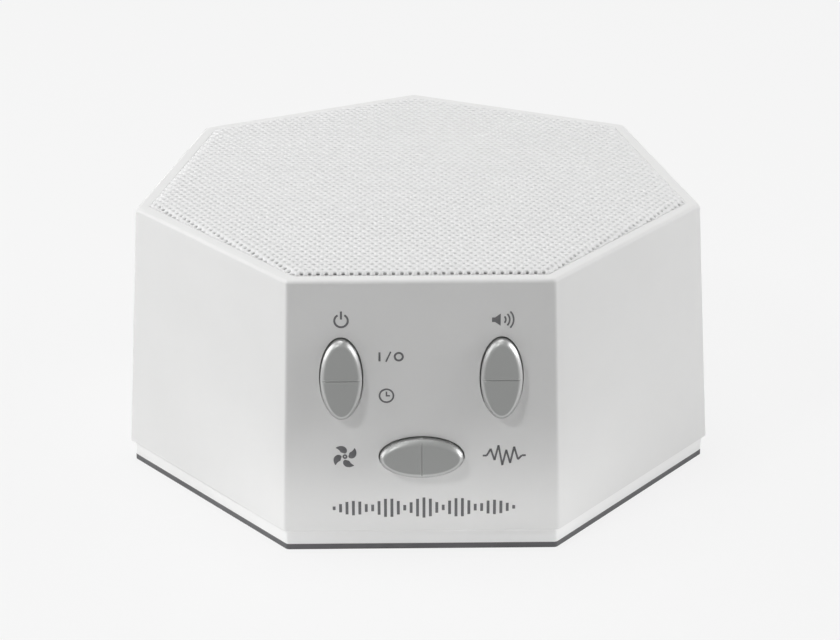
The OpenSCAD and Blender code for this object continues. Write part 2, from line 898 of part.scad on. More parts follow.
module main_board_screws() {
    color("silver") for (p = BOARD_SCREWS)
        translate([p[0], p[1], board_top]) screw(screw_r, board_t + board_bite);
}

module chip(x, y, size) {
    // Case a little above the board, with a row of pins along two of its sides
    w = size[0];
    l = size[1];
    translate([x - w / 2, y - l / 2, board_top + pin_w / 4]) cube(size);
    for (side = [-1, 1])
        for (j = [0 : floor(l / pin_pitch) - 1])
            translate([x + side * (w + pin_l - pin_w / 2) / 2 - pin_l / 2,
                y - l / 2 + pin_w + j * pin_pitch, board_top])
                cube([pin_l, pin_w, pin_w]);
}

module sound_chip() {
    color("darkslategray") chip(yoke_r + chip_room, chip_y, LARGE_CHIP);
}

module amplifier_chip() {
    color("darkslategray") chip(-yoke_r - chip_room, chip_y, SMALL_CHIP);
}

module memory_chip() {
    color("darkslategray") chip(memory_x, memory_y, SMALL_CHIP);
}

module capacitors() {
    color("steelblue") for (side = [-1, 1])
        translate([side * capacitor_x, capacitor_y, board_top])
            cylinder(r = capacitor_r, h = capacitor_h, $fn = round_fn);
}

module power_socket() {
    color("darkslategray") at_side(rear_right) difference() {
        translate([socket_face - socket_l, -socket_w / 2, board_top])
            cube([socket_l, socket_w, socket_z - board_top + socket_w / 2]);
        translate([socket_face - socket_l + socket_back, 0, socket_z]) rotate([0, 90, 0])
            cylinder(r = power_r, h = socket_l, $fn = round_fn);
    }
}

module power_pin() {
    color("gold") at_side(rear_right)
        translate([socket_face - socket_l + socket_back, 0, socket_z]) rotate([0, 90, 0])
            cylinder(r = power_pin_r, h = socket_l - socket_back - pin_short, $fn = round_fn);
}

module audio_jack() {
    color("darkslategray") at_side(rear_left) difference() {
        union() {
            translate([jack_body - jack_l, -jack_w / 2, board_top])
                cube([jack_l, jack_w, jack_h]);
            translate([jack_body - cut, 0, jack_z]) rotate([0, 90, 0])
                cylinder(r = jack_nose_r, h = jack_face - jack_body + cut, $fn = round_fn);
        }
        translate([jack_face - jack_depth, 0, jack_z]) rotate([0, 90, 0])
            cylinder(r = jack_r, h = jack_depth + cut, $fn = round_fn);
    }
}

module speaker_plug() {
    end = LEAD[len(LEAD) - 1];
    color("ivory") translate([end[0] - lead_plug_w / 2, end[1] - lead_plug_l / 2, board_top])
        cube([lead_plug_w, lead_plug_l, end[2] - board_top - 0.05]);
}

module ribbon_sockets() {
    color("ivory") {
        on_front() translate([-ribbon_w / 2 - ribbon_side, -ribbon_down - plug_l / 2, ribbon_face])
            cube([ribbon_w + 2 * ribbon_side, plug_l, board_in - ribbon_face]);
        translate([-ribbon_w / 2 - ribbon_side, main_plug_y - plug_l / 2, board_top])
            cube([ribbon_w + 2 * ribbon_side, plug_l, plug_h]);
    }
}

module ribbon_cable() {
    // Flat cable that bows between the two boards
    z1 = board_top + plug_h;
    steps = 24;
    function bow_at(t) = [
        ribbon_y + (main_plug_y - ribbon_y) * t,
        ribbon_z + (z1 - ribbon_z) * t + ribbon_bow * sin(180 * t)
    ];
    top = [for (j = [0 : steps]) bow_at(j / steps) + [0, ribbon_t]];
    low = [for (j = [steps : -1 : 0]) bow_at(j / steps)];
    color("lightgray") rotate([90, 0, 90]) translate([0, 0, -ribbon_w / 2])
        linear_extrude(ribbon_w) polygon(concat(top, low));
}

module speaker_wires() {
    color("firebrick") for (side = [-1, 1])
        rod([for (p = LEAD) p + [0, side * lead_pitch, 0]], lead_r, 8);
}

housing();
grille();
base_cover();
foot_ring();
housing_screws();
speaker_gasket();
speaker_frame();
speaker_surround();
speaker_cone();
dust_cap();
voice_coil();
speaker_spider();
speaker_top_plate();
speaker_magnet();
speaker_yoke();
speaker_terminals();
speaker_screws();
rocker_carrier();
power_rocker();
volume_rocker();
sound_rocker();
keypad_web();
power_domes();
volume_domes();
sound_domes();
control_board();
control_screws();
main_board();
main_board_screws();
sound_chip();
amplifier_chip();
memory_chip();
capacitors();
power_socket();
power_pin();
audio_jack();
speaker_plug();
ribbon_sockets();
ribbon_cable();
speaker_wires();
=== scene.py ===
"""Dressed model of a tabletop sound machine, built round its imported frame.

The housing has seven tapered sides and a flat rim. A perforated sheet lies inside the rim,
three oval rocker keys sit in the front face, and a plinth stands on a rubber foot ring.
Lengths are in millimetres until a mesh is filled, and the frame is in metres.
"""

import logging
import math
from dataclasses import dataclass, field
from enum import Enum

import bmesh
import bpy
import numpy as np
from mathutils import Matrix
from mathutils.geometry import delaunay_2d_cdt


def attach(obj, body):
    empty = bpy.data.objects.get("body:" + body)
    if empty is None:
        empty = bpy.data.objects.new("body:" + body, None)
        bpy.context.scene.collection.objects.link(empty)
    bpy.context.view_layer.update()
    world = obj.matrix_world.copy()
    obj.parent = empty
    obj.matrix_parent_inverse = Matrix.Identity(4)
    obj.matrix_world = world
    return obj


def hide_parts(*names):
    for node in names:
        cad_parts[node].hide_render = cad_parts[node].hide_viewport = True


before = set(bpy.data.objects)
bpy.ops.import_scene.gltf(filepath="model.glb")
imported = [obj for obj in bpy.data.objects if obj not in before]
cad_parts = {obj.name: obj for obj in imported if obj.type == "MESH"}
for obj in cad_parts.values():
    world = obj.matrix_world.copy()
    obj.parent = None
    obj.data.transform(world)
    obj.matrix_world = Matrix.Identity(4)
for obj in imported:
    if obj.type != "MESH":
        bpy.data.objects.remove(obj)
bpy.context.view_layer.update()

LOG = logging.getLogger("sound_machine")
MM = 0.001
SIDES = 7
HALF_SIDE = math.pi / SIDES
FACING = -math.pi / 2 + np.arange(SIDES) * 2 * HALF_SIDE
BODY = "machine"


# ---------------------------------------------------------------- surfaces


def closed_steps(count: int) -> np.ndarray:
    """Angles of a full turn in equal steps, without the repeated last one.

    Args:
        count: Number of steps.

    Returns:
        Array of angles in radians.
    """
    return np.arange(count) * (2 * math.pi / count)


def ellipse(rx: float, ry: float, count: int = 64) -> np.ndarray:
    """Points of an ellipse: (rx cos a, ry sin a).

    Args:
        rx: Half-width along x.
        ry: Half-width along y.
        count: Number of points.

    Returns:
        Array of shape (count, 2).
    """
    a = closed_steps(count)
    return np.stack([rx * np.cos(a), ry * np.sin(a)], axis=1)


class Patchwork:
    """Collects surface patches, sews them together and makes one piece of them."""

    def __init__(self) -> None:
        """Starts with no patches."""
        self.points: list[np.ndarray] = []
        self.faces: list[np.ndarray] = []
        self.count = 0

    def add(self, points: np.ndarray, *faces: np.ndarray) -> None:
        """Adds loose points and the faces between them.

        Args:
            points: Array of shape (n, 3), in millimetres.
            faces: Arrays of point numbers, one row per face.
        """
        self.points.append(np.asarray(points, float).reshape(-1, 3))
        self.faces.extend(np.asarray(f, int) + self.count for f in faces if len(f))
        self.count += len(self.points[-1])

    def grid(
        self,
        points: np.ndarray,
        wrap_rows: bool = False,
        wrap_columns: bool = False,
        keep: np.ndarray | None = None,
    ) -> None:
        """Adds a surface given by a grid of points, with one quad between four neighbours.

        Args:
            points: Array of shape (rows, columns, 3).
            wrap_rows: Whether the last row joins the first.
            wrap_columns: Whether the last column joins the first.
            keep: Which quads to make, as an array of rows by columns.
        """
        rows, columns = points.shape[:2]
        i = np.arange(rows if wrap_rows else rows - 1)[:, None]
        j = np.arange(columns if wrap_columns else columns - 1)[None, :]
        below, right = (i + 1) % rows, (j + 1) % columns
        quads = np.stack(
            np.broadcast_arrays(
                i * columns + j, i * columns + right, below * columns + right, below * columns + j
            ),
            axis=-1,
        )
        if keep is not None:
            quads = quads[keep[: quads.shape[0], : quads.shape[1]]]
        self.add(points.reshape(-1, 3), quads.reshape(-1, 4))

    def cap(self, ring: np.ndarray) -> None:
        """Closes a ring of points with triangles to its middle.

        Args:
            ring: Array of shape (n, 3).
        """
        n = len(ring)
        around = np.arange(n)
        fan = np.stack([around, (around + 1) % n, np.full(n, n)], axis=1)
        self.add(np.vstack([ring, ring.mean(axis=0)]), fan)

    def tube(self, rings: list[np.ndarray]) -> None:
        """Adds a closed body through rings of points, with a cap on each end.

        Args:
            rings: Arrays of shape (n, 3) with the same n.
        """
        self.grid(np.array(rings), wrap_columns=True)
        self.cap(rings[0])
        self.cap(rings[-1])

    def mesh(self, name: str, sew: float = 0.002) -> bpy.types.Mesh:
        """Fills a mesh, merges the seams and turns every face outwards.

        Args:
            name: Name of the mesh.
            sew: Distance within which points are merged, in millimetres.

        Returns:
            The finished mesh, in metres.
        """
        mesh = fill_mesh(name, np.vstack(self.points), self.faces)
        work = bmesh.new()
        work.from_mesh(mesh)
        bmesh.ops.remove_doubles(work, verts=work.verts, dist=sew * MM)
        bmesh.ops.dissolve_degenerate(work, edges=work.edges, dist=1e-7)
        bmesh.ops.recalc_face_normals(work, faces=work.faces)
        work.to_mesh(mesh)
        work.free()
        return mesh


def fill_mesh(name: str, points: np.ndarray, faces: list[np.ndarray]) -> bpy.types.Mesh:
    """Puts whole arrays into a new mesh.

    Args:
        name: Name of the mesh.
        points: Array of shape (n, 3), in millimetres.
        faces: Arrays of point numbers, each with a fixed number of corners per row.

    Returns:
        The mesh, in metres.
    """
    mesh = bpy.data.meshes.new(name)
    corners = np.concatenate([f.ravel() for f in faces]).astype(np.int32)
    sizes = np.concatenate([np.full(len(f), f.shape[1]) for f in faces])
    starts = np.concatenate([[0], np.cumsum(sizes)[:-1]]).astype(np.int32)
    mesh.vertices.add(len(points))
    mesh.vertices.foreach_set("co", (points * MM).astype(np.float32).ravel())
    mesh.loops.add(len(corners))
    mesh.loops.foreach_set("vertex_index", corners)
    mesh.polygons.add(len(sizes))
    mesh.polygons.foreach_set("loop_start", starts)
    mesh.update(calc_edges=True)
    mesh.validate()
    return mesh


def make_piece(
    name: str,
    mesh: bpy.types.Mesh,
    material: bpy.types.Material,
    body: str = BODY,
    replaced: tuple[str, ...] = (),
    sharp_deg: float | None = 40.0,
) -> bpy.types.Object:
    """Makes an object of a mesh, dresses it and lets it ride on its body.

    Args:
        name: Name of the piece.
        mesh: Its mesh, in metres, in place.
        material: Its finish.
        body: The body that it moves with.
        replaced: CAD nodes that it stands for.
        sharp_deg: Angle past which an edge stays sharp, or None for flat faces.

    Returns:
        The new object.
    """
    piece = bpy.data.objects.new(name, mesh)
    bpy.context.scene.collection.objects.link(piece)
    mesh.materials.append(material)
    if sharp_deg is not None:
        mesh.polygons.foreach_set("use_smooth", np.ones(len(mesh.polygons), bool))
        mesh.set_sharp_from_angle(angle=math.radians(sharp_deg))
        weigh = piece.modifiers.new("flat_faces_stay_flat", "WEIGHTED_NORMAL")
        weigh.keep_sharp = True
    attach(piece, body)
    if replaced:
        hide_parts(*replaced)
    LOG.info("%s: %d points, %d faces", name, len(mesh.vertices), len(mesh.polygons))
    return piece


# ---------------------------------------------------------------- finishes

# The grazing coat: how far the surface turns where it starts and where it is full, and its gloss
GLEAM_TURN = (0.14, 0.34)
GLEAM_IOR = 4.0
GLEAM_ROUGHNESS = 0.3
# Size and layers of the broad patches of tint, and the noise levels between which they blend
PATCH_MM, PATCH_DETAIL = 14.0, 3.0
PATCH_BLEND = (0.35, 0.65)
# How far a brushed grain is drawn out, and how far threads waver
BRUSH_DRAW = 0.06
THREAD_WAVER = 0.4


class Relief(Enum):
    """Kinds of fine surface relief."""

    GRAIN = "fine moulded or sprayed grain"
    BRUSHED = "fine lines along one direction"
    WOVEN = "crossing threads"


@dataclass(frozen=True)
class Finish:
    """A surface finish with its own fine relief and slight unevenness.

    Attributes:
        name: Name of the record's slot. The material is named after it.
        colour: Base colour, linear.
        roughness: Middle roughness.
        spread: How much the roughness varies.
        tint: How far the colour darkens in patches, as a share.
        relief: Kind of relief.
        relief_mm: Size of the relief's features.
        depth_mm: Height of the relief.
        metallic: Share of metal.
        specular: Strength of the plain reflection.
        coat: Weight of a clear coat.
        gleam: Weight of the clear coat at grazing angles alone.
        subsurface: Weight of light that spreads inside.
    """

    name: str
    colour: tuple[float, float, float]
    roughness: float = 0.5
    spread: float = 0.08
    tint: float = 0.03
    relief: Relief = Relief.GRAIN
    relief_mm: float = 0.35
    depth_mm: float = 0.008
    metallic: float = 0.0
    specular: float = 0.5
    coat: float = 0.0
    gleam: float = 0.0
    subsurface: float = 0.0

    def material(self) -> bpy.types.Material:
        """Makes the node material, or returns it where it exists already.

        Returns:
            The material.
        """
        name = f"{self.name}_surface"
        known = bpy.data.materials.get(name)
        if known:
            return known
        made = bpy.data.materials.new(name)
        made.use_nodes = True
        nodes, links = made.node_tree.nodes, made.node_tree.links
        shader = nodes["Principled BSDF"]
        shader.inputs["Metallic"].default_value = self.metallic
        shader.inputs["Specular IOR Level"].default_value = self.specular
        shader.inputs["Coat Weight"].default_value = self.coat
        shader.inputs["Subsurface Weight"].default_value = self.subsurface
        shader.inputs["Subsurface Scale"].default_value = 0.002
        place = nodes.new("ShaderNodeTexCoord").outputs["Object"]
        broad = self._noise(nodes, links, place, PATCH_MM, PATCH_DETAIL)
        dark = tuple(c * (1 - self.tint) for c in self.colour)
        ramp = nodes.new("ShaderNodeValToRGB")
        for stop, position, colour in zip(
            ramp.color_ramp.elements, PATCH_BLEND, (dark, self.colour)
        ):
            stop.position = position
            stop.color = (*colour, 1)
        links.new(broad, ramp.inputs["Fac"])
        links.new(ramp.outputs["Color"], shader.inputs["Base Color"])
        fine = self._relief(nodes, links, place)
        wear = nodes.new("ShaderNodeMapRange")
        wear.inputs["To Min"].default_value = max(0.02, self.roughness - self.spread)
        wear.inputs["To Max"].default_value = min(1.0, self.roughness + self.spread)
        links.new(fine, wear.inputs["Value"])
        links.new(wear.outputs["Result"], shader.inputs["Roughness"])
        bump = nodes.new("ShaderNodeBump")
        bump.inputs["Strength"].default_value = 1.0
        bump.inputs["Distance"].default_value = self.depth_mm * MM
        links.new(fine, bump.inputs["Height"])
        links.new(bump.outputs["Normal"], shader.inputs["Normal"])
        if self.gleam:
            self._grazing_coat(nodes, links, shader)
        return made

    def _grazing_coat(
        self, nodes: bpy.types.Nodes, links: bpy.types.NodeLinks, shader: bpy.types.Node
    ) -> None:
        """Gives the finish a coat that shows only where the surface turns away.

        The coat's weight rises evenly between two amounts of turning.

        Args:
            nodes: The material's nodes.
            links: The material's links.
            shader: The finish's shader.
        """
        turn = nodes.new("ShaderNodeLayerWeight")
        turn.inputs["Blend"].default_value = 0.5
        amount = nodes.new("ShaderNodeMapRange")
        for bound, turned in zip(("From Min", "From Max"), GLEAM_TURN):
            amount.inputs[bound].default_value = turned
        amount.inputs["To Max"].default_value = self.gleam
        links.new(turn.outputs["Facing"], amount.inputs["Value"])
        links.new(amount.outputs["Result"], shader.inputs["Coat Weight"])
        shader.inputs["Coat IOR"].default_value = GLEAM_IOR
        shader.inputs["Coat Roughness"].default_value = GLEAM_ROUGHNESS

    @staticmethod
    def _noise(
        nodes: bpy.types.Nodes,
        links: bpy.types.NodeLinks,
        place: bpy.types.NodeSocket,
        size_mm: float,
        detail: float,
    ) -> bpy.types.NodeSocket:
        """Adds noise whose features have a real size.

        Args:
            nodes: The material's nodes.
            links: The material's links.
            place: Socket with the coordinates, in metres.
            size_mm: Size of a feature.
            detail: Layers of finer noise.

        Returns:
            Socket with the noise, from 0 to 1.
        """
        noise = nodes.new("ShaderNodeTexNoise")
        noise.inputs["Scale"].default_value = 1 / (size_mm * MM)
        noise.inputs["Detail"].default_value = detail
        links.new(place, noise.inputs["Vector"])
        return noise.outputs["Fac"]

    def _relief(
        self, nodes: bpy.types.Nodes, links: bpy.types.NodeLinks, place: bpy.types.NodeSocket
    ) -> bpy.types.NodeSocket:
        """Adds the fine relief: noise, stretched noise or two crossing waves.

        Args:
            nodes: The material's nodes.
            links: The material's links.
            place: Socket with the coordinates, in metres.

        Returns:
            Socket with the relief's height, from 0 to 1.
        """
        if self.relief is Relief.GRAIN:
            return self._noise(nodes, links, place, self.relief_mm, detail=2.0)
        if self.relief is Relief.BRUSHED:
            stretch = nodes.new("ShaderNodeMapping")
            stretch.inputs["Scale"].default_value = (1.0, BRUSH_DRAW, 1.0)
            links.new(place, stretch.inputs["Vector"])
            return self._noise(nodes, links, stretch.outputs["Vector"], self.relief_mm, 3.0)
        threads = []
        for direction in ("X", "Y"):
            wave = nodes.new("ShaderNodeTexWave")
            wave.bands_direction = direction
            wave.inputs["Scale"].default_value = 1 / (self.relief_mm * MM * 2 * math.pi)
            wave.inputs["Distortion"].default_value = THREAD_WAVER
            links.new(place, wave.inputs["Vector"])
            threads.append(wave.outputs["Fac"])
        weave = nodes.new("ShaderNodeMath")
        weave.operation = "MAXIMUM"
        links.new(threads[0], weave.inputs[0])
        links.new(threads[1], weave.inputs[1])
        return weave.outputs["Value"]


class Palette(Enum):
    """The finishes of the object's pieces."""

    SHELL = Finish("shell_white", (0.80, 0.80, 0.795), 0.56, 0.05, 0.015, specular=0.3)
    GRILLE = Finish(
        "grille_white", (0.81, 0.81, 0.81), 0.55, 0.04, 0.015, depth_mm=0.002, specular=0.3
    )
    # The plinth's white is set lighter than the shell's white of the same plastic, to brighten its
    # band: painted light standing in for light thrown up from the floor
    BASE = Finish("base_white", (0.92, 0.92, 0.915), 0.50, 0.06, 0.02)
    RUBBER = Finish(
        "foot_rubber", (0.14, 0.14, 0.145), 0.75, 0.08, 0.15, relief_mm=0.25, depth_mm=0.02
    )
    KEY = Finish(
        "rocker_grey", (0.30, 0.305, 0.30), 0.42, 0.04, 0.03,
        relief_mm=0.25, depth_mm=0.003, metallic=0.9, gleam=1.0,
    )
    INK = Finish(
        "legend_ink", (0.14, 0.14, 0.145), 0.55, 0.06, 0.1, relief_mm=0.15, depth_mm=0.003
    )
    CARRIER = Finish("carrier_plastic", (0.72, 0.72, 0.71), 0.5)
    SILICONE = Finish("silicone", (0.60, 0.60, 0.61), 0.6, 0.05, subsurface=0.2)
    BOARD = Finish(
        "board_green", (0.03, 0.17, 0.08), 0.3, 0.05, 0.35, relief_mm=0.8, depth_mm=0.03, coat=0.5
    )
    CHIP = Finish("chip_black", (0.03, 0.03, 0.035), 0.6, 0.08, 0.1)
    SOCKET = Finish("socket_black", (0.035, 0.035, 0.04), 0.42, 0.06, 0.1)
    NYLON = Finish("connector_ivory", (0.76, 0.72, 0.60), 0.45, subsurface=0.1)
    SLEEVE = Finish("capacitor_sleeve", (0.03, 0.06, 0.18), 0.25, 0.04, 0.05, coat=0.4)
    STEEL = Finish(
        "plated_steel", (0.62, 0.62, 0.63), 0.3, 0.1, 0.1, Relief.BRUSHED, 0.3, 0.004, 1.0
    )
    BASKET = Finish("basket_steel", (0.10, 0.10, 0.11), 0.4, 0.08, 0.1, coat=0.2)
    FERRITE = Finish("ferrite", (0.05, 0.05, 0.05), 0.7, 0.1, 0.2, relief_mm=0.6, depth_mm=0.03)
    PAPER = Finish(
        "paper_cone", (0.045, 0.045, 0.05), 0.85, 0.08, 0.2, relief_mm=0.7, depth_mm=0.05
    )
    SURROUND = Finish("surround_rubber", (0.025, 0.025, 0.025), 0.5, 0.06, 0.1)
    CLOTH = Finish("spider_cloth", (0.55, 0.36, 0.13), 0.8, 0.1, 0.15, Relief.WOVEN, 0.5, 0.08)
    COPPER = Finish(
        "coil_copper", (0.75, 0.35, 0.18), 0.3, 0.1, 0.2, Relief.BRUSHED, 0.2, 0.02, 1.0
    )
    FOAM = Finish("foam_black", (0.03, 0.03, 0.03), 0.95, 0.05, 0.3, relief_mm=0.6, depth_mm=0.1)
    PIN = Finish(
        "pin_metal", (0.80, 0.66, 0.34), 0.25, 0.08, 0.1, Relief.BRUSHED, 0.2, 0.003, 1.0
    )
    STRIP = Finish("terminal_board", (0.42, 0.29, 0.16), 0.6, 0.08, 0.2)
    RIBBON = Finish("ribbon_grey", (0.40, 0.40, 0.41), 0.5, 0.05, 0.1)
    WIRE = Finish("wire_red", (0.42, 0.03, 0.02), 0.4, 0.05, 0.1)

    def of(self) -> bpy.types.Material:
        """Returns the finish as a material."""
        return self.value.material()

    @property
    def slot(self) -> str:
        """Name of the record's slot."""
        return self.value.name


# ---------------------------------------------------------------- housing


@dataclass(frozen=True)
class Body:
    """Driving sizes of the seven-sided body, in millimetres.

    Attributes:
        top_r: Distance of the sides' corners from the middle at the rim, before rounding.
        low_r: The same distance at the seam.
        height: Height of the rim above the table.
        seam: Height of the shell's lower edge.
        corner: Radius of the upright corners.
        wall: Thickness of the sides, measured level.
        rim: Width of the rim, with its round edges.
        deck: Height of the deck that carries the grille.
        deck_low: Height of the deck's underside.
        speaker_y: How far the speaker's axis lies behind the middle.
        speaker_open: Radius of the deck's opening for the speaker.
        side_steps: Steps along each side of a ring.
        arc_steps: Steps round each of its corners.
    """

    top_r: float = 55.0
    low_r: float = 58.0
    height: float = 52.5
    seam: float = 4.0
    corner: float = 0.9
    wall: float = 2.2
    rim: float = 2.45
    deck: float = 48.5
    deck_low: float = 46.5
    speaker_y: float = 3.0
    speaker_open: float = 34.5
    side_steps: int = 6
    arc_steps: int = 8

    @property
    def top_apothem(self) -> float:
        """Distance of the sides from the middle at the top."""
        return self.top_r * math.cos(HALF_SIDE)

    @property
    def draft(self) -> float:
        """Lean of the sides, in radians: the arctangent of their run over their rise."""
        run = (self.low_r - self.top_r) * math.cos(HALF_SIDE)
        return math.atan(run / (self.height - self.seam))

    def apothem(self, z: float) -> float:
        """Distance of the outer sides from the middle at a height.

        It grows evenly downwards, by the tangent of the lean.

        Args:
            z: Height above the table.

        Returns:
            The distance.
        """
        return self.top_apothem + (self.height - z) * math.tan(self.draft)

    def ring(self, apothem: float, corner: float, z: float) -> np.ndarray:
        """Seven-sided ring with round corners: straight runs joined by arcs.

        Args:
            apothem: Distance of the sides from the middle.
            corner: Radius of the corners.
            z: Height.

        Returns:
            Array of shape (sides * (side_steps + arc_steps), 3).
        """
        out = np.stack([np.cos(FACING), np.sin(FACING)], axis=1)[:, None]
        along = np.stack([-np.sin(FACING), np.cos(FACING)], axis=1)[:, None]
        half = (apothem - corner) * math.tan(HALF_SIDE)
        s = np.linspace(-half, half, self.side_steps + 1)[None, :, None]
        straight = out * apothem + along * s
        turn = np.arange(1, self.arc_steps) / self.arc_steps * 2 * HALF_SIDE
        a = FACING[:, None] + turn[None, :]
        round_ = np.stack([np.cos(a), np.sin(a)], axis=-1) * corner
        arcs = out * (apothem - corner) + along * half + round_
        flat = np.concatenate([straight, arcs], axis=1).reshape(-1, 2)
        return np.column_stack([flat, np.full(len(flat), z)])

    def on_front(self, points: np.ndarray) -> np.ndarray:
        """Carries points from the front face's own frame into the object's.

        A point's three numbers are steps along the face's directions, from the middle of its
        top edge.

        Args:
            points: Array (..., 3): to the right, up along the face, and out of it.

        Returns:
            Array of the same shape, in the object's frame.
        """
        lean = self.draft
        across = np.array([1.0, 0.0, 0.0])
        up = np.array([0.0, math.sin(lean), math.cos(lean)])
        out = np.array([0.0, -math.cos(lean), math.sin(lean)])
        top = np.array([0.0, -self.top_apothem, self.height])
        return top + points @ np.stack([across, up, out])


@dataclass(frozen=True)
class Window:
    """An oval opening in one side of the housing.

    Attributes:
        side: Which side, counted from the front one.
        x: Place along the side.
        down: Distance below the panel's top edge.
        rx: Half-width.
        ry: Half-height.
        lip: Radius of its outer edge.
    """

    side: int
    x: float
    down: float
    rx: float
    ry: float
    lip: float = 0.12


@dataclass
class Housing:
    """Moulded outer shell: seven panels, rim, recess, deck and cavity, as one closed skin.

    Attributes:
        body: The body's sizes.
        keys: The keys that need a window in the front face.
        edge_steps: Steps round each round edge.
        edge: Radius of the top edge.
        rim_edge: Radius of the rim's inner edge.
        low_edge: Radius of the lower edge.
        plug_room: Radius of the opening round the power plug.
        plug_z: Height of its middle.
        jack_hole: Radius of the opening for the audio plug.
        jack_z: Height of its middle.
        power_side: Side with the power opening, counted from the front one.
        jack_side: Side with the audio opening.
    """

    body: Body
    keys: tuple["RockerKey", ...]
    edge_steps: int = 5
    edge: float = 0.75
    rim_edge: float = 0.15
    low_edge: float = 0.25
    plug_room: float = 4.6
    plug_z: float = 13.5
    jack_hole: float = 3.2
    jack_z: float = 12.1
    power_side: int = 3
    jack_side: int = 4

    def round_ring(self, radius: float, z: float, like: np.ndarray) -> np.ndarray:
        """Round ring about the speaker's axis, with its points facing those of another ring.

        Args:
            radius: Radius of the ring.
            z: Height.
            like: The ring whose directions are used.

        Returns:
            Array of the same shape.
        """
        a = np.arctan2(like[:, 1], like[:, 0])
        y = self.body.speaker_y + radius * np.sin(a)
        return np.column_stack([radius * np.cos(a), y, np.full(len(a), z)])

    def rings(self) -> tuple[list[np.ndarray], int, int]:
        """Rings of the closed skin, from the lower edge up the outside and down the inside.

        The lower edge, the top edge and the rim's inner edge are quarter rounds.

        Returns:
            The rings, and which bands between them are the outer and the inner walls.
        """
        b = self.body
        quarter = np.linspace(0, math.pi / 2, self.edge_steps + 1)
        rings = []
        for a in quarter[::-1]:
            z = b.seam + self.low_edge * (1 - math.sin(a))
            rings.append(b.ring(b.apothem(z) - self.low_edge * (1 - math.cos(a)), b.corner, z))
        outer = len(rings) - 1
        for a in quarter:
            z = b.height - self.edge * (1 - math.sin(a))
            inset = self.edge * (1 - math.cos(a))
            rings.append(b.ring(b.apothem(z) - inset, b.corner, z))
        rim = b.top_apothem - b.rim
        for a in quarter:
            z = b.height - self.rim_edge * (1 - math.cos(a))
            rings.append(b.ring(rim + self.rim_edge * (1 - math.sin(a)), b.corner, z))
        rings.append(b.ring(rim, b.corner, b.deck))
        rings.append(self.round_ring(b.speaker_open, b.deck, rings[-1]))
        rings.append(self.round_ring(b.speaker_open, b.deck_low, rings[-1]))
        rings.append(b.ring(b.apothem(b.deck_low) - b.wall, b.corner, b.deck_low))
        inner = len(rings) - 1
        rings.append(b.ring(b.apothem(b.seam) - b.wall, b.corner, b.seam))
        return rings, outer, inner

    def windows(self) -> list[Window]:
        """Lists the openings for the keys and, at the rear, for the power plug and the jack.

        Returns:
            The openings.
        """
        b = self.body
        slope = math.cos(b.draft)
        found = [
            Window(0, key.x, key.down, key.half_x + key.gap, key.half_y + key.gap)
            for key in self.keys
        ]
        for side, z, r in (
            (self.power_side, self.plug_z, self.plug_room),
            (self.jack_side, self.jack_z, self.jack_hole),
        ):
            found.append(Window(side, 0.0, (b.height - z) / slope, r, r))
        return found

    def panel_frame(self, side: int) -> tuple[np.ndarray, np.ndarray, np.ndarray, np.ndarray]:
        """Frame of one side: its top middle, and the ways along, down and out.

        Args:
            side: Number of the side.

        Returns:
            Four arrays of three.
        """
        b = self.body
        a = FACING[side]
        flat_out = np.array([math.cos(a), math.sin(a), 0.0])
        along = np.array([-math.sin(a), math.cos(a), 0.0])
        down = flat_out * math.sin(b.draft) - np.array([0, 0, math.cos(b.draft)])
        out = flat_out * math.cos(b.draft) + np.array([0, 0, math.sin(b.draft)])
        return flat_out * b.top_apothem + np.array([0, 0, b.height]), along, down, out

    def panel(
        self, work: Patchwork, side: int, upper: np.ndarray, lower: np.ndarray, lipped: bool
    ) -> None:
        """Adds one flat panel between two straight runs, with its openings left out.

        The panel is filled with triangles between its border and the ovals. A triangle whose
        middle lies inside an oval is dropped.

        Args:
            work: Where the panel is added.
            side: Number of the side.
            upper: Points of the upper run.
            lower: Points of the lower run.
            lipped: Whether the openings are wider here, by their lip.
        """
        start, along, down, _ = self.panel_frame(side)
        border = np.vstack([upper, lower[::-1]])
        origin = border[0]
        loops = [np.stack([(border - origin) @ along, (border - origin) @ down], axis=1)]
        shift = np.array([(start - origin) @ along, (start - origin) @ down])
        holes = [w for w in self.windows() if w.side == side]
        sizes = [(w.rx + w.lip * lipped, w.ry + w.lip * lipped) for w in holes]
        for w, (rx, ry) in zip(holes, sizes):
            loops.append(ellipse(rx, ry) + np.array([w.x, w.down]) + shift)
        edges, first = [], 0
        for loop in loops:
            around = first + np.arange(len(loop))
            edges.append(np.stack([around, np.roll(around, -1)], axis=1))
            first += len(loop)
        points, _, faces, *_ = delaunay_2d_cdt(
            np.vstack(loops).tolist(), np.vstack(edges).tolist(), [], 1, 1e-6
        )
        points, faces = np.array(points), np.array(faces)
        middle = points[faces].mean(axis=1) - shift
        solid = np.ones(len(faces), bool)
        for w, (rx, ry) in zip(holes, sizes):
            u, v = (middle[:, 0] - w.x) / rx, (middle[:, 1] - w.down) / ry
            solid &= u * u + v * v > 1
        work.add(origin + points[:, :1] * along + points[:, 1:] * down, faces[solid])

    def passage(self, work: Patchwork, w: Window) -> None:
        """Adds the wall of an opening: a quarter-round lip, then straight to the inside.

        Args:
            work: Where the wall is added.
            w: The opening.
        """
        start, along, down, out = self.panel_frame(w.side)
        rows = []
        for a in np.linspace(0, math.pi / 2, self.edge_steps + 1):
            size = w.lip * (1 - math.sin(a))
            rows.append((ellipse(w.rx + size, w.ry + size), w.lip * (1 - math.cos(a))))
        rows.append((ellipse(w.rx, w.ry), self.body.wall * math.cos(self.body.draft)))
        grid = [
            start + (p[:, :1] + w.x) * along + (p[:, 1:] + w.down) * down - depth * out
            for p, depth in rows
        ]
        work.grid(np.array(grid), wrap_columns=True)

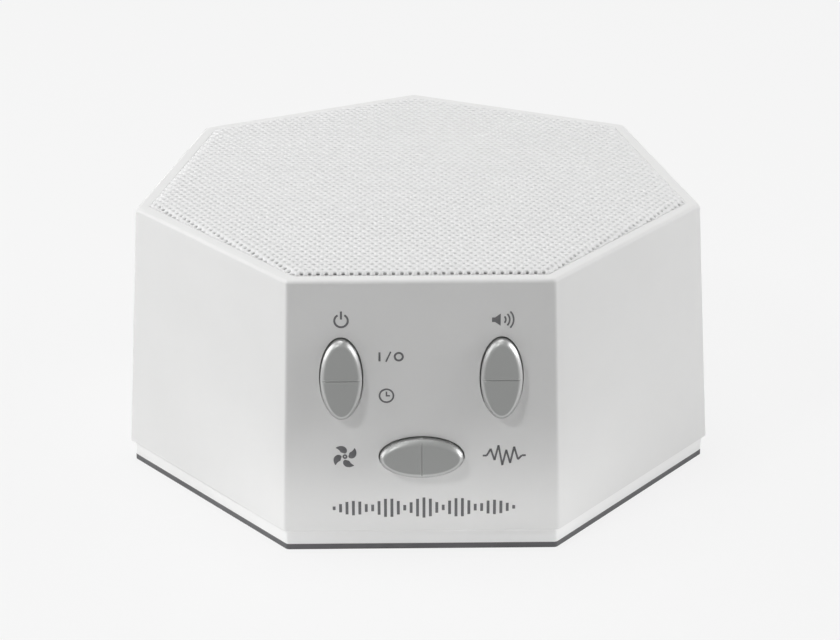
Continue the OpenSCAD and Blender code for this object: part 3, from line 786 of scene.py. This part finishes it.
    def build(self) -> bpy.types.Object:
        """Builds and dresses the shell.

        Returns:
            The piece.
        """
        rings, outer, inner = self.rings()
        work = Patchwork()
        sides = self.body.side_steps
        step = sides + self.body.arc_steps
        keep = np.ones((len(rings), len(rings[0])), bool)
        open_sides = sorted({w.side for w in self.windows()})
        for side in open_sides:
            run = slice(side * step, side * step + sides)
            keep[outer, run] = False
            keep[inner, run] = False
        work.grid(np.array(rings), wrap_rows=True, wrap_columns=True, keep=keep)
        for side in open_sides:
            run = slice(side * step, side * step + sides + 1)
            self.panel(work, side, rings[outer + 1][run], rings[outer][run], lipped=True)
            self.panel(work, side, rings[inner][run], rings[inner + 1][run], lipped=False)
        for w in self.windows():
            self.passage(work, w)
        mesh = work.mesh("housing_shell")
        return make_piece(
            "housing_shell", mesh, Palette.SHELL.of(), replaced=("housing",)
        )


# ---------------------------------------------------------------- grille


@dataclass
class Grille:
    """Perforated sheet that stands proud of the rim, its sloping border, and its skirt.

    Attributes:
        body: The body's sizes.
        pitch: Spacing of the holes in a row.
        row: Spacing of the rows.
        hole_r: Radius of the holes.
        shift_x: Where one hole of the pattern lies, to the right.
        shift_y: Where that hole lies, to the rear.
        sheet: Thickness of the sheet.
        gap: Gap to the rim.
        border: Width of the sloping border.
        drop: How far the border falls.
        rise: Height of the flat field over the rim.
        knee: Half the width of the bend between the field and the border.
        corner: Radius of the skirt's corners.
        tuck: How far the skirt's top lies under the border's edge.
        bevel: How much lower the skirt's inner edge is.
    """

    body: Body
    pitch: float = 1.495
    row: float = 1.25
    hole_r: float = 0.41
    shift_x: float = -5.64
    shift_y: float = -45.5
    sheet: float = 0.8
    gap: float = 0.03
    border: float = 1.2
    drop: float = 0.58
    rise: float = 0.6
    knee: float = 0.25
    corner: float = 0.4
    tuck: float = 0.05
    bevel: float = 0.35

    @property
    def edge(self) -> float:
        """Distance of the sheet's edge from the middle."""
        return self.body.top_apothem - self.body.rim - self.gap

    @property
    def field(self) -> float:
        """Distance of the flat field's border from the middle."""
        return self.edge - self.border

    @property
    def slope(self) -> float:
        """Length of the sloping border, measured along the sheet."""
        return math.hypot(self.border, self.drop)

    def cells(self) -> tuple[np.ndarray, np.ndarray, np.ndarray]:
        """Staggered cells, each an eight-cornered hole in a rectangle that meets its neighbours.

        Returns:
            Points of shape (n, 2), and the triangles and quads between them.
        """
        reach = (self.field + self.slope) / math.cos(HALF_SIDE) + 2 * self.pitch
        most_across, most_rows = math.ceil(reach / self.pitch), math.ceil(reach / self.row)
        j, i = np.mgrid[-most_rows : most_rows + 1, -most_across : most_across + 1]
        j = j - round(self.shift_y / self.row)
        x = self.shift_x % self.pitch + (i + 0.5 * (j % 2)) * self.pitch
        y = self.shift_y + j * self.row
        centres = np.stack([x, y], axis=-1).reshape(-1, 2)
        centres = centres[np.hypot(centres[:, 0], centres[:, 1]) < reach]
        a = closed_steps(8)
        hole = np.stack([np.cos(a), np.sin(a)], axis=1) * self.hole_r
        w, h = self.pitch / 2, self.row / 2
        border = np.array([[w, h], [0, h], [-w, h], [-w, -h], [0, -h], [w, -h]])
        cell = np.vstack([hole, border])
        triangles = np.array(
            [[7, 13, 0], [0, 13, 8], [0, 8, 1], [3, 10, 4], [4, 10, 11], [4, 11, 5]]
        )
        quads = np.array([[1, 8, 9, 2], [2, 9, 10, 3], [5, 11, 12, 6], [6, 12, 13, 7]])
        start = (np.arange(len(centres)) * len(cell))[:, None, None]
        points = (centres[:, None] + cell[None]).reshape(-1, 2)
        return points, (triangles + start).reshape(-1, 3), (quads + start).reshape(-1, 4)

    def formed(self, flat: np.ndarray) -> np.ndarray:
        """Presses the flat sheet: flat inside, then a soft knee and an even slope.

        The distance from the middle, measured across the nearest side, decides the height.
        Past the field the sheet keeps its length along the slope, so a point moves inwards
        by the length that the slope takes up, and a parabola rounds the knee.

        Args:
            flat: Points of shape (n, 2).

        Returns:
            Points of shape (n, 3).
        """
        sides = np.stack([np.cos(FACING), np.sin(FACING)])
        reach = (flat @ sides).max(axis=1)
        past = reach - self.field
        soft = np.clip(past + self.knee, 0, 2 * self.knee) ** 2 / (4 * self.knee)
        down = np.where(past < self.knee, soft, past)
        inwards = down * (1 - self.border / self.slope) / np.maximum(reach, 1)
        z = self.body.height + self.rise - down * (self.drop / self.slope)
        return np.column_stack([flat * (1 - inwards)[:, None], z])

    def build(self) -> None:
        """Builds the sheet and its skirt, and dresses both.

        The flat field of cells is cut to the seven sides first, and pressed after that.
        """
        points, triangles, quads = self.cells()
        flat = np.column_stack([points, np.zeros(len(points))])
        mesh = fill_mesh("grille_sheet", flat, [triangles, quads])
        work = bmesh.new()
        work.from_mesh(mesh)
        bmesh.ops.remove_doubles(work, verts=work.verts, dist=0.001 * MM)
        for a in FACING:
            out = (math.cos(a), math.sin(a), 0.0)
            bmesh.ops.bisect_plane(
                work,
                geom=work.verts[:] + work.edges[:] + work.faces[:],
                dist=1e-7,
                plane_co=tuple(c * (self.field + self.slope) * MM for c in out),
                plane_no=out,
                clear_outer=True,
            )
        work.to_mesh(mesh)
        work.free()
        place = np.empty(len(mesh.vertices) * 3, np.float32)
        mesh.vertices.foreach_get("co", place)
        formed = self.formed(place.reshape(-1, 3)[:, :2].astype(float) / MM)
        mesh.vertices.foreach_set("co", (formed * MM).astype(np.float32).ravel())
        mesh.update()
        if sum(p.normal.z for p in mesh.polygons[:50]) < 0:
            mesh.flip_normals()
        sheet = make_piece(
            "grille_sheet", mesh, Palette.GRILLE.of(),
            replaced=("grille",), sharp_deg=None,
        )
        thick = sheet.modifiers.new("sheet_thickness", "SOLIDIFY")
        thick.thickness = self.sheet * MM
        thick.offset = -1.0
        self.skirt()

    def skirt(self) -> bpy.types.Object:
        """Builds the upright skirt under the sheet's edge, as a closed band.

        Returns:
            The piece.
        """
        high, low = self.body.height + self.rise - self.drop - self.tuck, self.body.deck
        inner = self.edge - self.sheet
        rings = [
            self.body.ring(apothem, self.corner, z)
            for apothem, z in (
                (self.edge, high), (self.edge, low), (inner, low), (inner, high - self.bevel)
            )
        ]
        work = Patchwork()
        work.grid(np.array(rings), wrap_rows=True, wrap_columns=True)
        mesh = work.mesh("grille_skirt")
        return make_piece("grille_skirt", mesh, Palette.GRILLE.of())


# ---------------------------------------------------------------- keys


@dataclass
class RockerKey:
    """Oval rocker key: two flat halves that meet in a fine groove, inside a round shoulder.

    Attributes:
        name: Name of the piece.
        node: The CAD node that it stands for.
        moves_with: The body that it rides on.
        x: Place to the right of the middle of the face.
        down: Distance below the top edge.
        lying: Whether its length runs across the face.
        length: Length of the oval.
        width: Width of the oval.
        gap: Gap to the window, all round.
        rise: Height of the key's ends over the face.
        dip: How much lower its middle is.
        shoulder_w: Width of the round shoulder.
        shoulder_h: How far the outline lies below the ends.
        shoulder_power: Power of the way across the shoulder, by which it falls.
        groove_w: Half the groove's width.
        groove_d: Its depth.
        groove_end: Where it ends, as a share of the key's half-width.
        groove_fade: Length over which it runs out, as such a share.
        tilt_deg: How far the key tips each way.
        flange_w: Width of the flange behind the wall.
        flange_t: Its thickness.
        flange_clear: Gap between the tipped flange and the wall.
        pin_r: Radius of the pivot pins.
        pin_end: How far they reach from the key's middle.
        leg_y: How far the legs stand from the middle.
        leg_r: Their radius.
        leg_end: Height of their ends over the face, which is below it.
        across_steps: Samples from the middle to the rim, across the key.
        rim_crowd: Power that crowds them towards the rim.
        groove_steps: Samples from the middle to just past the groove, along the key.
        groove_reach: How far these go, in half-widths of the groove.
        along_steps: Samples from there to the rim.
        rod_steps: Points round a pin or a leg.
        sharp_deg: Angle past which an edge stays sharp.
    """

    name: str
    node: str
    moves_with: str
    x: float
    down: float
    lying: bool = False
    length: float = 15.2
    width: float = 7.5
    gap: float = 0.2
    rise: float = 2.0
    dip: float = 0.3
    shoulder_w: float = 1.05
    shoulder_h: float = 0.95
    shoulder_power: float = 1.8
    groove_w: float = 0.22
    groove_d: float = 0.22
    groove_end: float = 0.86
    groove_fade: float = 0.08
    tilt_deg: float = 3.0
    flange_w: float = 1.0
    flange_t: float = 1.0
    flange_clear: float = 0.14
    pin_r: float = 0.9
    pin_end: float = 6.65
    leg_y: float = 5.6
    leg_r: float = 1.2
    leg_end: float = -7.6
    across_steps: int = 22
    rim_crowd: float = 0.9
    groove_steps: int = 8
    groove_reach: float = 1.2
    along_steps: int = 26
    rod_steps: int = 24
    sharp_deg: float = 50.0

    @property
    def half_x(self) -> float:
        """Half-size across the face."""
        return (self.length if self.lying else self.width) / 2

    @property
    def half_y(self) -> float:
        """Half-size up the face."""
        return (self.width if self.lying else self.length) / 2

    def flange_out(self, body: Body) -> float:
        """Height of the flange's outer side over the face, which is below it.

        The wall's inside lies behind the face by the wall's thickness times the cosine of the
        lean. The flange keeps a gap from it when the key tips, where the flange's end rises
        by its distance from the middle times the sine of the tilt.

        Args:
            body: The body's sizes.

        Returns:
            The height.
        """
        inside = body.wall * math.cos(body.draft)
        rises = (self.length / 2 + self.flange_w) * math.sin(math.radians(self.tilt_deg))
        return -(inside + rises + self.flange_clear)

    def top_height(self, x: np.ndarray, y: np.ndarray) -> np.ndarray:
        """Height of the key's top over the front face.

        Two slopes fall from the ends to the middle, a narrow cosine groove runs across the
        middle, and a power of the distance rounds the shoulder down to the outline.

        Args:
            x: Places across the key.
            y: Places along the key.

        Returns:
            Heights.
        """
        a, b = self.width / 2, self.length / 2
        r = np.sqrt((x / a) ** 2 + (y / b) ** 2)
        steep = np.sqrt((x / a**2) ** 2 + (y / b**2) ** 2) / np.maximum(r, 1e-6)
        inside = np.clip((1 - r) / np.maximum(steep, 1e-6) / self.shoulder_w, 0, 1)
        fall = self.dip * (1 - np.abs(y) / b)
        z = self.rise - fall
        z -= (self.shoulder_h - fall) * (1 - inside) ** self.shoulder_power
        near = np.clip(np.abs(y) / self.groove_w, 0, 1)
        fade = np.clip((self.groove_end - np.abs(x) / a) / self.groove_fade, 0, 1)
        return z - self.groove_d * 0.5 * (1 + np.cos(math.pi * near)) * fade

    def place(self, points: np.ndarray, body: Body) -> np.ndarray:
        """Carries the key's own points onto the front face.

        A lying key turns by a quarter first, and then every key moves to its place.

        Args:
            points: Array (..., 3): across, along and out.
            body: The body's sizes.

        Returns:
            Array in the object's frame.
        """
        x, y, z = points[..., 0], points[..., 1], points[..., 2]
        if self.lying:
            x, y = -y, x
        return body.on_front(np.stack([x + self.x, y - self.down, z], axis=-1))

    def top_grid(self) -> np.ndarray:
        """Grid over the oval: a square carried onto a disc, so that one row is the groove.

        A square's point (u, v) goes to (u sqrt(1 - v^2/2), v sqrt(1 - u^2/2)). The samples
        crowd towards the rim, and along v also towards the groove.

        Returns:
            Array of shape (rows, columns, 3).
        """
        rim = np.sin(np.linspace(0, math.pi / 2, self.across_steps)) ** self.rim_crowd
        u = np.concatenate([-rim[:0:-1], rim])
        reach = 2 * self.groove_w / self.length * self.groove_reach
        fine = np.linspace(0, reach, self.groove_steps)
        crowd = np.sin(np.linspace(0, math.pi / 2, self.along_steps))[1:]
        half = np.concatenate([fine, fine[-1] + (1 - fine[-1]) * crowd])
        v = np.concatenate([-half[:0:-1], half])
        uu, vv = np.meshgrid(u, v)
        x = uu * np.sqrt(1 - vv**2 / 2) * self.width / 2
        y = vv * np.sqrt(1 - uu**2 / 2) * self.length / 2
        return np.stack([x, y, self.top_height(x, y)], axis=-1)

    def build(self, body: Body) -> bpy.types.Object:
        """Builds the key with its flange, pins and legs, and dresses it.

        Args:
            body: The body's sizes.

        Returns:
            The piece.
        """
        work = Patchwork()
        top = self.top_grid()
        work.grid(self.place(top, body))
        edge = np.concatenate([top[0, :-1], top[:-1, -1], top[-1, :0:-1], top[:0:-1, 0]])
        out = self.flange_out(body)
        low = out - self.flange_t
        grow = 1 + self.flange_w / np.hypot(edge[:, 0], edge[:, 1])[:, None]
        rows = [edge]
        for z, wide in ((out, False), (out, True), (low, True)):
            ring = edge.copy()
            ring[:, :2] *= grow if wide else 1.0
            ring[:, 2] = z
            rows.append(ring)
        work.grid(self.place(np.array(rows), body), wrap_columns=True)
        work.cap(self.place(rows[-1], body))
        self.rods(work, body)
        mesh = work.mesh(self.name)
        return make_piece(
            self.name, mesh, Palette.KEY.of(),
            body=self.moves_with, replaced=(self.node,), sharp_deg=self.sharp_deg,
        )

    def rods(self, work: Patchwork, body: Body) -> None:
        """Adds the two pivot pins and the two legs, as closed round bars.

        Args:
            work: Where they are added.
            body: The body's sizes.
        """
        a = closed_steps(self.rod_steps)
        c, s, level = np.cos(a), np.sin(a), np.zeros(len(a))
        pivot = self.flange_out(body) - self.flange_t / 2
        low = pivot - self.flange_t / 2
        inner = self.width / 2 + self.flange_w / 2
        for side in (-1, 1):
            pin = [
                (side * x + level, self.pin_r * c, pivot + self.pin_r * s)
                for x in (inner, self.pin_end)
            ]
            leg = [
                (self.leg_r * c, side * self.leg_y + self.leg_r * s, z + level)
                for z in (low, self.leg_end)
            ]
            for rod in (pin, leg):
                work.tube([self.place(np.stack(ring, axis=1), body) for ring in rod])


# ---------------------------------------------------------------- legends


@dataclass
class Legends:
    """Printed marks beside the keys: plain symbols as thin raised ribbons.

    Each mark is given by its middle: x to the right, and down from the face's top edge.

    Attributes:
        body: The body's sizes.
        ink: Height of the ink over the face.
        sunk: How far it reaches into the face.
        line: Width of the usual line.
        fine_line: Width of a fine line.
        hand_line: Width of the clock's hands and of the slash.
        blades: Number of the fan's blades.
        blade_start: Distance of their roots from the hub's middle.
        blade_length: Their length.
        blade_sweep: How far they turn on the way out, in radians.
        blade_root: Their width at both ends.
        blade_swell: How much wider their middle is.
        trace_half: Half the length of the jagged trace.
        trace_line: Width of its line.
        bars: Number of bars in the level band.
        band_half: Half its length.
        bar_line: Width of a bar.
        bar_least: Half-height of the lowest bars.
        bar_swell: How much the half-height swells.
        bar_beats: Half-waves of the swelling from the middle to an end.
        bar_fade: Share of the swelling that is lost at the ends.
        work: What collects the ribbons.
    """

    body: Body
    ink: float = 0.03
    sunk: float = 0.02
    line: float = 0.36
    fine_line: float = 0.3
    hand_line: float = 0.26
    blades: int = 4
    blade_start: float = 0.62
    blade_length: float = 1.75
    blade_sweep: float = 0.75
    blade_root: float = 0.12
    blade_swell: float = 1.15
    trace_half: float = 3.9
    trace_line: float = 0.34
    bars: int = 29
    band_half: float = 16.4
    bar_line: float = 0.52
    bar_least: float = 0.35
    bar_swell: float = 1.65
    bar_beats: float = 2.5
    bar_fade: float = 0.55
    work: Patchwork = field(default_factory=Patchwork)

    def ribbon(self, path: np.ndarray, width: float | np.ndarray, closed: bool = False) -> None:
        """Adds a flat ribbon: a low rectangle carried along a path on the front face.

        Args:
            path: Points of shape (n, 2): to the right, and down from the top edge.
            width: Its width, or one width per point.
            closed: Whether its end joins its start.
        """
        path = np.asarray(path, float)
        if closed:
            way = np.roll(path, -1, axis=0) - np.roll(path, 1, axis=0)
        else:
            way = np.gradient(path, axis=0)
        way /= np.maximum(np.linalg.norm(way, axis=1), 1e-9)[:, None]
        side = np.stack([-way[:, 1], way[:, 0]], axis=1)
        half = np.broadcast_to(np.asarray(width, float), (len(path),))[:, None] / 2
        left, right = path + side * half, path - side * half
        corners = [(left, -self.sunk), (right, -self.sunk), (right, self.ink), (left, self.ink)]
        rows = [np.column_stack([p[:, 0], -p[:, 1], np.full(len(p), z)]) for p, z in corners]
        grid = self.body.on_front(np.array(rows).transpose(1, 0, 2))
        self.work.grid(grid, wrap_rows=closed, wrap_columns=True)
        if not closed:
            ends = np.array([[0, 1, 2, 3]])
            self.work.add(grid[0], ends)
            self.work.add(grid[-1], ends)

    def arc(
        self, x: float, down: float, r: float, start: float, end: float, width: float | None = None
    ) -> None:
        """Adds an arc of a circle. Angles run in degrees from the right, upwards.

        Args:
            x: Middle to the right.
            down: Middle below the top edge.
            r: Radius.
            start: First angle.
            end: Last angle. A full turn closes the arc.
            width: Width of the line, or None for the usual one.
        """
        full = abs(end - start) >= 360
        a = np.radians(np.linspace(start, end, 49))
        a = a[:-1] if full else a
        path = np.stack([x + r * np.cos(a), down - r * np.sin(a)], axis=1)
        self.ribbon(path, width or self.line, full)

    def bar(self, x0: float, d0: float, x1: float, d1: float, width: float | None = None) -> None:
        """Adds a straight line from one place to another.

        Args:
            x0: Start to the right.
            d0: Start below the top edge.
            x1: End to the right.
            d1: End below the top edge.
            width: Width of the line, or None for the usual one.
        """
        self.ribbon(np.linspace((x0, d0), (x1, d1), 3), width or self.line)

    def power_mark(self, x: float, down: float) -> None:
        """Adds the usual sign for power: an open circle and a stroke in its gap."""
        self.arc(x, down, 1.2, 120, 420)
        self.bar(x, down - 1.75, x, down - 0.25)

    def speaker_mark(self, x: float, down: float) -> None:
        """Adds the usual sign for loudness: a small horn and three arcs.

        Args:
            x: Middle to the right.
            down: Middle below the top edge.
        """
        path = np.array([[x - 2.3, down], [x - 1.75, down], [x - 1.7, down], [x - 0.75, down]])
        self.ribbon(path, np.array([0.85, 0.85, 0.95, 2.3]))
        for r in (0.9, 1.6, 2.3):
            self.arc(x - 0.75, down, r, -42, 42, self.fine_line)

    def on_off_mark(self, x: float, down: float) -> None:
        """Adds a stroke, a slash and a ring, the usual sign for on and off.

        Args:
            x: Middle to the right.
            down: Middle below the top edge.
        """
        self.bar(x - 1.9, down - 0.85, x - 1.9, down + 0.85)
        self.bar(x - 0.75, down + 0.95, x + 0.1, down - 0.95, self.hand_line)
        self.arc(x + 1.55, down, 0.72, 0, 360)

    def clock_mark(self, x: float, down: float) -> None:
        """Adds a clock face with two hands.

        Args:
            x: Middle to the right.
            down: Middle below the top edge.
        """
        self.arc(x, down, 1.25, 0, 360, self.fine_line)
        self.bar(x, down + 0.12, x, down - 0.8, self.hand_line)
        self.bar(x - 0.1, down, x + 0.62, down, self.hand_line)

    def fan_mark(self, x: float, down: float) -> None:
        """Adds a fan: a hub ring and swept blades.

        A blade turns on its way out by a power of that way, and its width swells like half a
        sine wave over another power of it.

        Args:
            x: Middle to the right.
            down: Middle below the top edge.
        """
        self.arc(x, down, 0.3, 0, 360, self.fine_line)
        t = np.linspace(0, 1, 17)
        r = self.blade_start + self.blade_length * t
        for k in range(self.blades):
            a = k * 2 * math.pi / self.blades + self.blade_sweep * t**1.3
            path = np.stack([x + r * np.cos(a), down - r * np.sin(a)], axis=1)
            self.ribbon(path, self.blade_root + self.blade_swell * np.sin(math.pi * t**0.8))

    def noise_mark(self, x: float, down: float) -> None:
        """Adds a jagged trace between two short level strokes.

        Straight lines join its turns, which are evenly spaced.

        Args:
            x: Middle to the right.
            down: Middle below the top edge.
        """
        heights = (0.0, 0.0, -1.3, 0.9, -2.0, 1.9, -1.1, 1.5, -1.7, 0.8, 0.0, 0.0)
        across = x + np.linspace(-self.trace_half, self.trace_half, len(heights))
        turns = list(zip(across, down + np.array(heights)))
        for (x0, d0), (x1, d1) in zip(turns, turns[1:]):
            self.bar(x0, d0, x1, d1, self.trace_line)

    def level_band(self, x: float, down: float) -> None:
        """Adds a row of upright bars whose heights swell and shrink like a beating tone.

        The swelling is a cosine without its sign, and it fades with the square of the way
        from the middle.

        Args:
            x: Middle to the right.
            down: Middle below the top edge.
        """
        middle = self.bars // 2
        for i in range(self.bars):
            s = (i - middle) / middle
            beat = abs(math.cos(self.bar_beats * math.pi * s))
            h = self.bar_least + self.bar_swell * beat * (1 - self.bar_fade * s * s)
            at = x + self.band_half * s
            self.bar(at, down - h, at, down + h, self.bar_line)

    def build(self) -> bpy.types.Object:
        """Builds every mark and dresses them as one piece.

        Returns:
            The piece.
        """
        self.power_mark(-14.3, 7.5)
        self.speaker_mark(14.9, 7.5)
        self.on_off_mark(-5.6, 14.4)
        self.clock_mark(-6.3, 21.9)
        self.fan_mark(-13.9, 33.7)
        self.noise_mark(15.0, 33.7)
        self.level_band(0.4, 43.9)
        mesh = self.work.mesh("legend_marks", sew=0.0005)
        return make_piece(
            "legend_marks", mesh, Palette.INK.of(), sharp_deg=None
        )


# ---------------------------------------------------------------- carried-over pieces

DRESS = {
    Palette.BASE: ("base_cover",),
    Palette.RUBBER: ("foot_ring",),
    Palette.STEEL: (
        "housing_screws", "speaker_screws", "control_screws", "main_board_screws",
        "speaker_top_plate", "speaker_yoke",
    ),
    Palette.FOAM: ("speaker_gasket",),
    Palette.BASKET: ("speaker_frame",),
    Palette.SURROUND: ("speaker_surround",),
    Palette.PAPER: ("speaker_cone", "dust_cap"),
    Palette.COPPER: ("voice_coil",),
    Palette.CLOTH: ("speaker_spider",),
    Palette.FERRITE: ("speaker_magnet",),
    Palette.STRIP: ("speaker_terminals",),
    Palette.CARRIER: ("rocker_carrier",),
    Palette.SILICONE: ("keypad_web", "power_domes", "volume_domes", "sound_domes"),
    Palette.BOARD: ("control_board", "main_board"),
    Palette.CHIP: ("sound_chip", "amplifier_chip", "memory_chip"),
    Palette.SLEEVE: ("capacitors",),
    Palette.SOCKET: ("power_socket", "audio_jack"),
    Palette.PIN: ("power_pin",),
    Palette.NYLON: ("speaker_plug", "ribbon_sockets"),
    Palette.RIBBON: ("ribbon_cable",),
    Palette.WIRE: ("speaker_wires",),
}


def dress_nodes() -> None:
    """Gives every carried-over CAD node its finish."""
    for finish, names in DRESS.items():
        for name in names:
            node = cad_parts[name]
            node.data.materials.clear()
            node.data.materials.append(finish.of())
            LOG.info("%s: %s", name, finish.slot)


# ---------------------------------------------------------------- stage


def stand(thing: bpy.types.Object, axes: np.ndarray, place: np.ndarray) -> None:
    """Turns and places a lamp or a camera, and links it to the scene.

    Args:
        thing: The object.
        axes: Its right, up and backward directions, one per column.
        place: Its place, in metres.
    """
    matrix = np.eye(4)
    matrix[:3, :3], matrix[:3, 3] = axes, place
    thing.matrix_world = Matrix(matrix.tolist())
    bpy.context.scene.collection.objects.link(thing)


@dataclass(frozen=True)
class Lamp:
    """A soft rectangular lamp.

    Attributes:
        name: Its name.
        place: Where it hangs, in metres.
        size: Its width and height, in metres.
        power: Its power, in watts.
        aim: What it faces, in metres.
        spread_deg: How far its light fans out.
        mirrored: Whether glossy surfaces show it.
    """

    name: str
    place: tuple[float, float, float]
    size: tuple[float, float]
    power: float
    aim: tuple[float, float, float] = (0.0, 0.0, 0.03)
    spread_deg: float = 180.0
    mirrored: bool = True

    def hang(self) -> None:
        """Adds the lamp to the scene, unseen by the camera.

        Its back points from what it faces to its place, and its side lies level.
        """
        light = bpy.data.lights.new(self.name, "AREA")
        light.shape = "RECTANGLE"
        light.size, light.size_y = self.size
        light.energy = self.power
        light.spread = math.radians(self.spread_deg)
        away = np.array(self.place) - np.array(self.aim)
        away /= np.linalg.norm(away)
        side = np.cross((0.0, 0.0, 1.0), away)
        side /= np.linalg.norm(side)
        lamp = bpy.data.objects.new(self.name, light)
        lamp.visible_camera = False
        lamp.visible_glossy = self.mirrored
        stand(lamp, np.stack([side, np.cross(away, side), away], axis=1), np.array(self.place))


LAMPS = (
    Lamp("key_light", (-0.42, -0.4, 0.62), (0.12, 0.12), 1.42),
    Lamp("overhead", (-0.1, 0.1, 0.95), (0.5, 0.5), 4.25),
    Lamp("left_window", (-0.9, 0.15, 0.35), (0.8, 0.8), 5.8),
    Lamp("right_window", (0.9, -0.05, 0.35), (0.6, 0.6), 5.1),
    Lamp(
        "floor_bounce", (0.0, -0.085, 0.0015), (0.09, 0.006), 0.00175,
        aim=(0.0, -0.052, 0.006), spread_deg=60.0, mirrored=False,
    ),
)


@dataclass
class Stage:
    """Floor, world, lamps and camera.

    Attributes:
        width_px: Width of the render, in pixels.
        sensor_mm: Width of the sensor.
        focal_px: Focal length, in pixels of the render.
        azimuth: How far the camera stands to the right of the front, in radians.
        elevation: How far it looks down, in radians.
        roll: How far it is turned about its own axis, in radians.
        eye_mm: Its place.
        white: Brightness of what shows as white.
        floor_white: Share of that white in the floor.
        floor_grey: Grey of the floor under the lamps.
        floor_reach: Half the length of the floor's sides, in millimetres.
        dim_world: Strength of the surroundings as a light.
    """

    width_px: int = 840
    sensor_mm: float = 36.0
    focal_px: float = 2708.0
    azimuth: float = math.radians(-0.814)
    elevation: float = math.radians(23.149)
    roll: float = math.radians(-0.100)
    eye_mm: tuple[float, float, float] = (-6.534, -493.338, 234.640)
    white: float = 0.93
    floor_white: float = 0.9
    floor_grey: float = 0.85
    floor_reach: float = 3000.0
    dim_world: float = 0.036

    def camera(self) -> None:
        """Places the camera and makes it the scene's own.

        Azimuth and elevation give the way back from the object, and the roll turns right and
        up about it.
        """
        az, el = self.azimuth, self.elevation
        back = np.array([math.sin(az) * math.cos(el), -math.cos(az) * math.cos(el), math.sin(el)])
        right = np.array([math.cos(az), math.sin(az), 0.0])
        up = np.cross(back, right)
        c, s = math.cos(self.roll), math.sin(self.roll)
        axes = np.stack([c * right + s * up, c * up - s * right, back], axis=1)
        lens = bpy.data.cameras.new("camera")
        lens.sensor_width = self.sensor_mm
        lens.sensor_fit = "HORIZONTAL"
        lens.lens = self.sensor_mm * self.focal_px / self.width_px
        lens.clip_end = 20.0
        camera = bpy.data.objects.new("camera", lens)
        stand(camera, axes, np.array(self.eye_mm) * MM)
        bpy.context.scene.camera = camera

    def seen_white(
        self, tree: bpy.types.NodeTree, lit: bpy.types.NodeSocket, share: float
    ) -> bpy.types.NodeSocket:
        """Mixes plain white into what the camera, mirrors and glass see of a surface.

        Args:
            tree: The material's or the world's nodes.
            lit: The surface as the lamps light it.
            share: Share of plain white.

        Returns:
            Socket of the mixed shader.
        """
        nodes, links = tree.nodes, tree.links
        path = nodes.new("ShaderNodeLightPath")
        seen = path.outputs["Is Camera Ray"]
        for ray in ("Is Glossy Ray", "Is Transmission Ray"):
            either = nodes.new("ShaderNodeMath")
            either.operation = "MAXIMUM"
            links.new(seen, either.inputs[0])
            links.new(path.outputs[ray], either.inputs[1])
            seen = either.outputs["Value"]
        amount = nodes.new("ShaderNodeMath")
        amount.operation = "MULTIPLY"
        amount.inputs[1].default_value = share
        links.new(seen, amount.inputs[0])
        white = nodes.new("ShaderNodeEmission" if share < 1 else "ShaderNodeBackground")
        white.inputs["Color"].default_value = (self.white, self.white, self.white, 1)
        mix = nodes.new("ShaderNodeMixShader")
        links.new(amount.outputs["Value"], mix.inputs["Fac"])
        links.new(lit, mix.inputs[1])
        links.new(white.outputs[0], mix.inputs[2])
        return mix.outputs["Shader"]

    def floor(self) -> None:
        """Adds the pale floor, which keeps the object's shadow."""
        corners = np.array([[-1, -1, 0], [1, -1, 0], [1, 1, 0], [-1, 1, 0]]) * self.floor_reach
        mesh = fill_mesh("floor", corners, [np.array([[0, 1, 2, 3]])])
        floor = bpy.data.objects.new("floor", mesh)
        bpy.context.scene.collection.objects.link(floor)
        made = bpy.data.materials.new("floor_paper")
        made.use_nodes = True
        tree = made.node_tree
        shader = tree.nodes["Principled BSDF"]
        shader.inputs["Base Color"].default_value = (*[self.floor_grey] * 3, 1)
        shader.inputs["Roughness"].default_value = 0.9
        output = tree.nodes["Material Output"]
        shown = self.seen_white(tree, shader.outputs["BSDF"], self.floor_white)
        tree.links.new(shown, output.inputs["Surface"])
        mesh.materials.append(made)

    def world(self) -> None:
        """Adds the pale surroundings: dim as a light, white as a background."""
        world = bpy.data.worlds.new("surroundings")
        bpy.context.scene.world = world
        world.use_nodes = True
        tree = world.node_tree
        lit = tree.nodes["Background"]
        lit.inputs["Color"].default_value = (1, 1, 1, 1)
        lit.inputs["Strength"].default_value = self.dim_world
        output = tree.nodes["World Output"]
        shown = self.seen_white(tree, lit.outputs["Background"], 1.0)
        tree.links.new(shown, output.inputs["Surface"])

    def build(self) -> None:
        """Sets up the whole stage."""
        bpy.context.scene.view_settings.view_transform = "Standard"
        self.floor()
        self.world()
        for lamp in LAMPS:
            lamp.hang()
        self.camera()


# ---------------------------------------------------------------- main


def main() -> None:
    """Builds the stage and every piece in order, and reports them."""
    logging.basicConfig(level=logging.INFO, format="%(name)s %(message)s")
    Stage().build()
    body = Body()
    keys = (
        RockerKey("power_key_cap", "power_rocker", "power_key", -14.4, 18.5),
        RockerKey("volume_key_cap", "volume_rocker", "volume_key", 14.4, 18.5),
        RockerKey("sound_key_cap", "sound_rocker", "sound_key", 0.0, 33.8, lying=True),
    )
    dress_nodes()
    Housing(body, keys).build()
    Grille(body).build()
    for key in keys:
        key.build(body)
    Legends(body).build()


if __name__ == "__main__":
    main()
